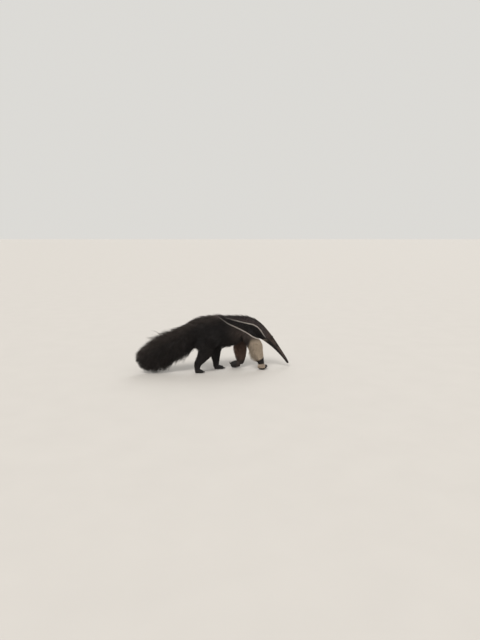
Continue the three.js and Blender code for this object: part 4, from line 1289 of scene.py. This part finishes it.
FACE_SIZE = np.interp(tri_t * BODY_SPANS, [0, 1, 4.3], [2.2, 1.7, 1.0])
grow("coat_head", "coat_grey", "face", body_part(0, 4.3) * (1 - smooth(0.1, 0.6, tri_bare)) * FACE_SIZE,
     11000, FUR_SHORT, 6, head_extras)
grow("coat_neck", "coat_black", "neck", body_part(4.3, 7), 9800, FUR_LONG, 8, head_extras)
for name, low, high, count in (("shoulder", 7, 9.5, 9600), ("barrel", 9.5, 12, 9000),
                               ("rump", 12, 14, 7300)):
    grow(f"coat_{name}", "coat_black", "trunk", body_part(low, high), count, FUR_LONG)
for name, low, high, count in (("root", 14, 16, 9600), ("middle", 16, 18, 10300),
                               ("end", 18, 20.1, 8300)):
    grow(f"coat_tail_{name}", "coat_grizzled", "tail", body_part(low, high), count, FUR_LONG, 14)
LEG_TOP = 0.45 + 0.55 * smooth(0.2, 1.2, tri_t * LEG_SPANS)
for leg, slot in (("hind_right", "coat_black"), ("hind_left", "coat_black"),
                  # The far foreleg's coat is pale; its brown and dark colour is painted shade.
                  ("front_right", "coat_pale"), ("front_left", "coat_brown")):
    grow(f"coat_{leg}_upper", slot, "limb", leg_part(leg, 0, 3.6) * LEG_TOP, 3400, FUR_LONG)
    foot = (tri_chain == CHAIN_NAMES.index(leg) + len(LEGS)).astype(float)
    grow(f"coat_{leg}_lower", slot, "short", leg_part(leg, 3.6, 6.1) + foot * 1.3, 3000, FUR_SHORT, 6)


def ear_coat():
    """Short fur over the backs and rims of the ears, thin inside the cups."""
    kind = KINDS["face"]
    count = int(2600 * COUNTS)
    base, normal, _ = roots((tri_ear >= 0.3).astype(float), count)
    verts = np.empty((count, 7, 3))
    hand = base[:, 1] > 0
    for side, (at, stand, opens, wide) in zip((True, False), EAR_SPOTS):
        own = np.flatnonzero(hand == side)
        inner = (normal[own] @ opens) > 0.3
        lean = np.where(inner, 0.35, 0.28)[:, None]
        stray = RNG.normal(0, 0.22, (len(own), 3))
        way = unit(stand + 0.25 * wide * ((base[own] - at) @ wide)[:, None] / 19 + stray)
        way = unit(way - normal[own] * ((way * normal[own]).sum(-1))[:, None] + normal[own] * lean)
        length = RNG.uniform(5, 10, len(own)) * np.where(inner, 0.7, 1.0)
        tip = base[own] + way * length[:, None]
        bend = base[own] + way * (length * 0.5)[:, None] + normal[own] * 0.6
        width = np.full(len(own), 1.1 / math.sqrt(COUNTS))
        verts[own] = blades(base[own] - normal[own] * 0.5, bend, tip, normal[own], width, kind["rings"])
    flat = np.zeros(count, int)
    t, angle, _ = BODY_CHAIN.place(base)
    tints = tinted(flat, verts, angle, angle, kind, head_extras)
    return coat_piece("coat_ears", verts, kind, (flat, t, angle), tints, FUR_SHORT)


ear_coat()

skin.name = "skin"
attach(skin, "root")
SIDES = ("left", "right")
PAIRED = ("ear", "upper_arm", "forearm", "hand", "thigh", "shank", "foot")
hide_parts("nose", "snout", "head", "neck", "chest", "belly", "rump", "tail_base", "tail_middle",
            "tail_end", *(f"{part}_{hand}" for hand in SIDES for part in PAIRED))


# Eyes.
def eye_material():
    """Dark brown iris and black pupil, by how far forward a point faces on the ball."""
    made, tree, shader = material("eye", 0.13, 0.0, 0.2, 0.12)
    shader.inputs["Coat Roughness"].default_value = 0.03
    iris = ramp(tree, attribute(tree, "front").outputs["Fac"], (0.0, 0.03, 0.018, 0.012),
                (0.42, 0.028, 0.014, 0.007), (0.62, 0.045, 0.021, 0.008), (0.78, 0.016, 0.008, 0.004),
                (0.84, 0.001, 0.001, 0.001), (1.0, 0.001, 0.001, 0.001))
    fibre = noise(tree, place_of(tree), 1400.0, 3.0)
    tree.links.new(shade(tree, iris, fibre, 0.7, 1.4), shader.inputs["Base Color"])
    return made


def ball(rings, sides):
    """Points and faces of a ball of radius 1 with its poles over and under."""
    around = np.linspace(0, 2 * np.pi, sides, endpoint=False)
    made = [np.stack([np.cos(around) * math.sin(down), np.sin(around) * math.sin(down),
                      np.full(sides, math.cos(down))], -1)
            for down in np.linspace(0, math.pi, rings + 1)[1:-1]]
    return closed_rings((0, 0, 1), made, (0, 0, -1))


EYE = eye_material()
BALL, BALL_FACES = ball(28, 40)
CORNEA = 1 + 0.06 * smooth(0.75, 1.0, BALL[:, 2:])
for hand, (at, out, lie, across) in zip(SIDES, EYE_FRAMES):
    points = (BALL * CORNEA * EYE_RADIUS) @ np.stack([lie, across, out]) + at - out * EYE_SUNK
    eye = mesh_object(f"eyeball_{hand}", points, BALL_FACES)
    outward(eye.data)
    set_number(eye.data, "front", np.clip(BALL[:, 2], 0, 1))
    eye.data.materials.append(EYE)
    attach(eye, "root")
    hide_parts(f"eye_{hand}")


# Claws.
def horn_material():
    """Dark horn, paler towards the tip, with a grain along the claw."""
    made, tree, shader = material("horn", 0.34, 0.0, 0.5)
    grain = noise(tree, stretched(tree, place_of(tree), (60, 900, 700)), 1.0, 5.0)
    horn = ramp(tree, attribute(tree, "share").outputs["Fac"], (0.0, 0.012, 0.009, 0.0075),
                (0.55, 0.016, 0.012, 0.01), (1.0, 0.04, 0.03, 0.023))
    tree.links.new(shade(tree, horn, grain, 0.6, 1.5), shader.inputs["Base Color"])
    bump(tree, shader, grain, 0.35, 0.0003)
    return made


HORN = horn_material()
CLAW_RINGS = 22
CLAW_SIDES = 18


def claw_mesh(root, start, curl, length, thick):
    """A curved claw, ridged along its back and a little flatter under it, sharp at the tip."""
    point = root.copy()
    rings = []
    shares = []
    for i in range(CLAW_RINGS):
        share = i / CLAW_RINGS
        heading = math.radians(start + curl * share)
        ahead = np.array([math.cos(heading), 0, math.sin(heading)])
        over = np.array([-math.sin(heading), 0, math.cos(heading)])
        reach = thick / 2 * (1 - 0.95 * share ** 1.4)
        ring = []
        for j in range(CLAW_SIDES):
            a = 2 * math.pi * j / CLAW_SIDES
            y = math.cos(a) * reach * 0.7 * (1 - 0.22 * abs(math.sin(a)) ** 3)
            z = math.sin(a) * reach * (0.9 if math.sin(a) < 0 else 1.0)
            ring.append(point + np.array([0, y, 0]) + over * z)
        rings.append(np.array(ring))
        shares += [share] * CLAW_SIDES
        point = point + ahead * (length / CLAW_RINGS)
    verts, faces = closed_rings(root, rings, point)
    return verts, faces, [0, *shares, 1]


def sunk(root, start, sink=5):
    """A claw's root, set back into its toe."""
    heading = math.radians(start)
    return root - np.array([math.cos(heading), 0, math.sin(heading)]) * sink


for leg, carriage in CARRIAGE.items():
    start = carriage["start"]
    for i, (root, length, thick) in enumerate(toe_roots(leg)):
        name = f"claw_{leg}_{i + 1}"
        verts, faces, shares = claw_mesh(sunk(root, start), start, carriage["curl"], length, thick)
        claw = mesh_object(name.replace("claw", "talon"), floored(verts), faces)
        outward(claw.data)
        set_number(claw.data, "share", shares)
        claw.data.materials.append(HORN)
        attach(claw, "root")
        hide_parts(name)

# Floor, light and camera.
FAR = 300
floor_mesh = bpy.data.meshes.new("floor")
floor_mesh.from_pydata([(-FAR, -FAR, 0), (FAR, -FAR, 0), (FAR, FAR, 0), (-FAR, FAR, 0)], [],
                       [(0, 1, 2, 3)])
floor = add("floor", floor_mesh)
made, tree, shader = material("floor", 0.85, 0.0, 0.2)
ground = noise(tree, place_of(tree), 3.0, 4.0)
plain = node(tree, "ShaderNodeRGB")
plain.outputs[0].default_value = (0.56, 0.535, 0.505, 1)
tree.links.new(shade(tree, plain.outputs[0], ground, 0.985, 1.015), shader.inputs["Base Color"])
floor_mesh.materials.append(made)

world = bpy.data.worlds.new("sky")
world.use_nodes = True
sky = world.node_tree.nodes["Background"].inputs
sky["Color"].default_value = (0.955, 0.94, 0.90, 1)
sky["Strength"].default_value = 0.75
bpy.context.scene.world = world
# Suns: name, where each shines from, strength, how wide it looks in degrees, and colour.
LIGHTS = [
    ("key", (-0.45, -0.75, 1.0), 2.0, 22, (1.0, 0.975, 0.94)),
    ("back", (0.5, 0.8, 0.9), 0.7, 40, (0.95, 0.97, 1.0)),
]
for name, way, strength, angle, colour in LIGHTS:
    data = bpy.data.lights.new(name, "SUN")
    data.energy = strength
    data.angle = math.radians(angle)
    data.color = colour
    light = add(name, data)
    light.location = Vector(way) * 4
    light.rotation_euler = (-Vector(way)).to_track_quat("-Z", "Y").to_euler()

lens = bpy.data.cameras.new("camera")
lens.sensor_width = SENSOR
lens.lens = LENS
lens.clip_end = 200
camera = add("camera", lens)
camera.location = metres(CAMERA)
look = Vector((math.sin(TURN) * math.cos(PITCH), math.cos(TURN) * math.cos(PITCH), -math.sin(PITCH)))
camera.rotation_euler = look.to_track_quat("-Z", "Y").to_euler()
bpy.context.scene.camera = camera
bpy.context.scene.view_settings.view_transform = "Standard"
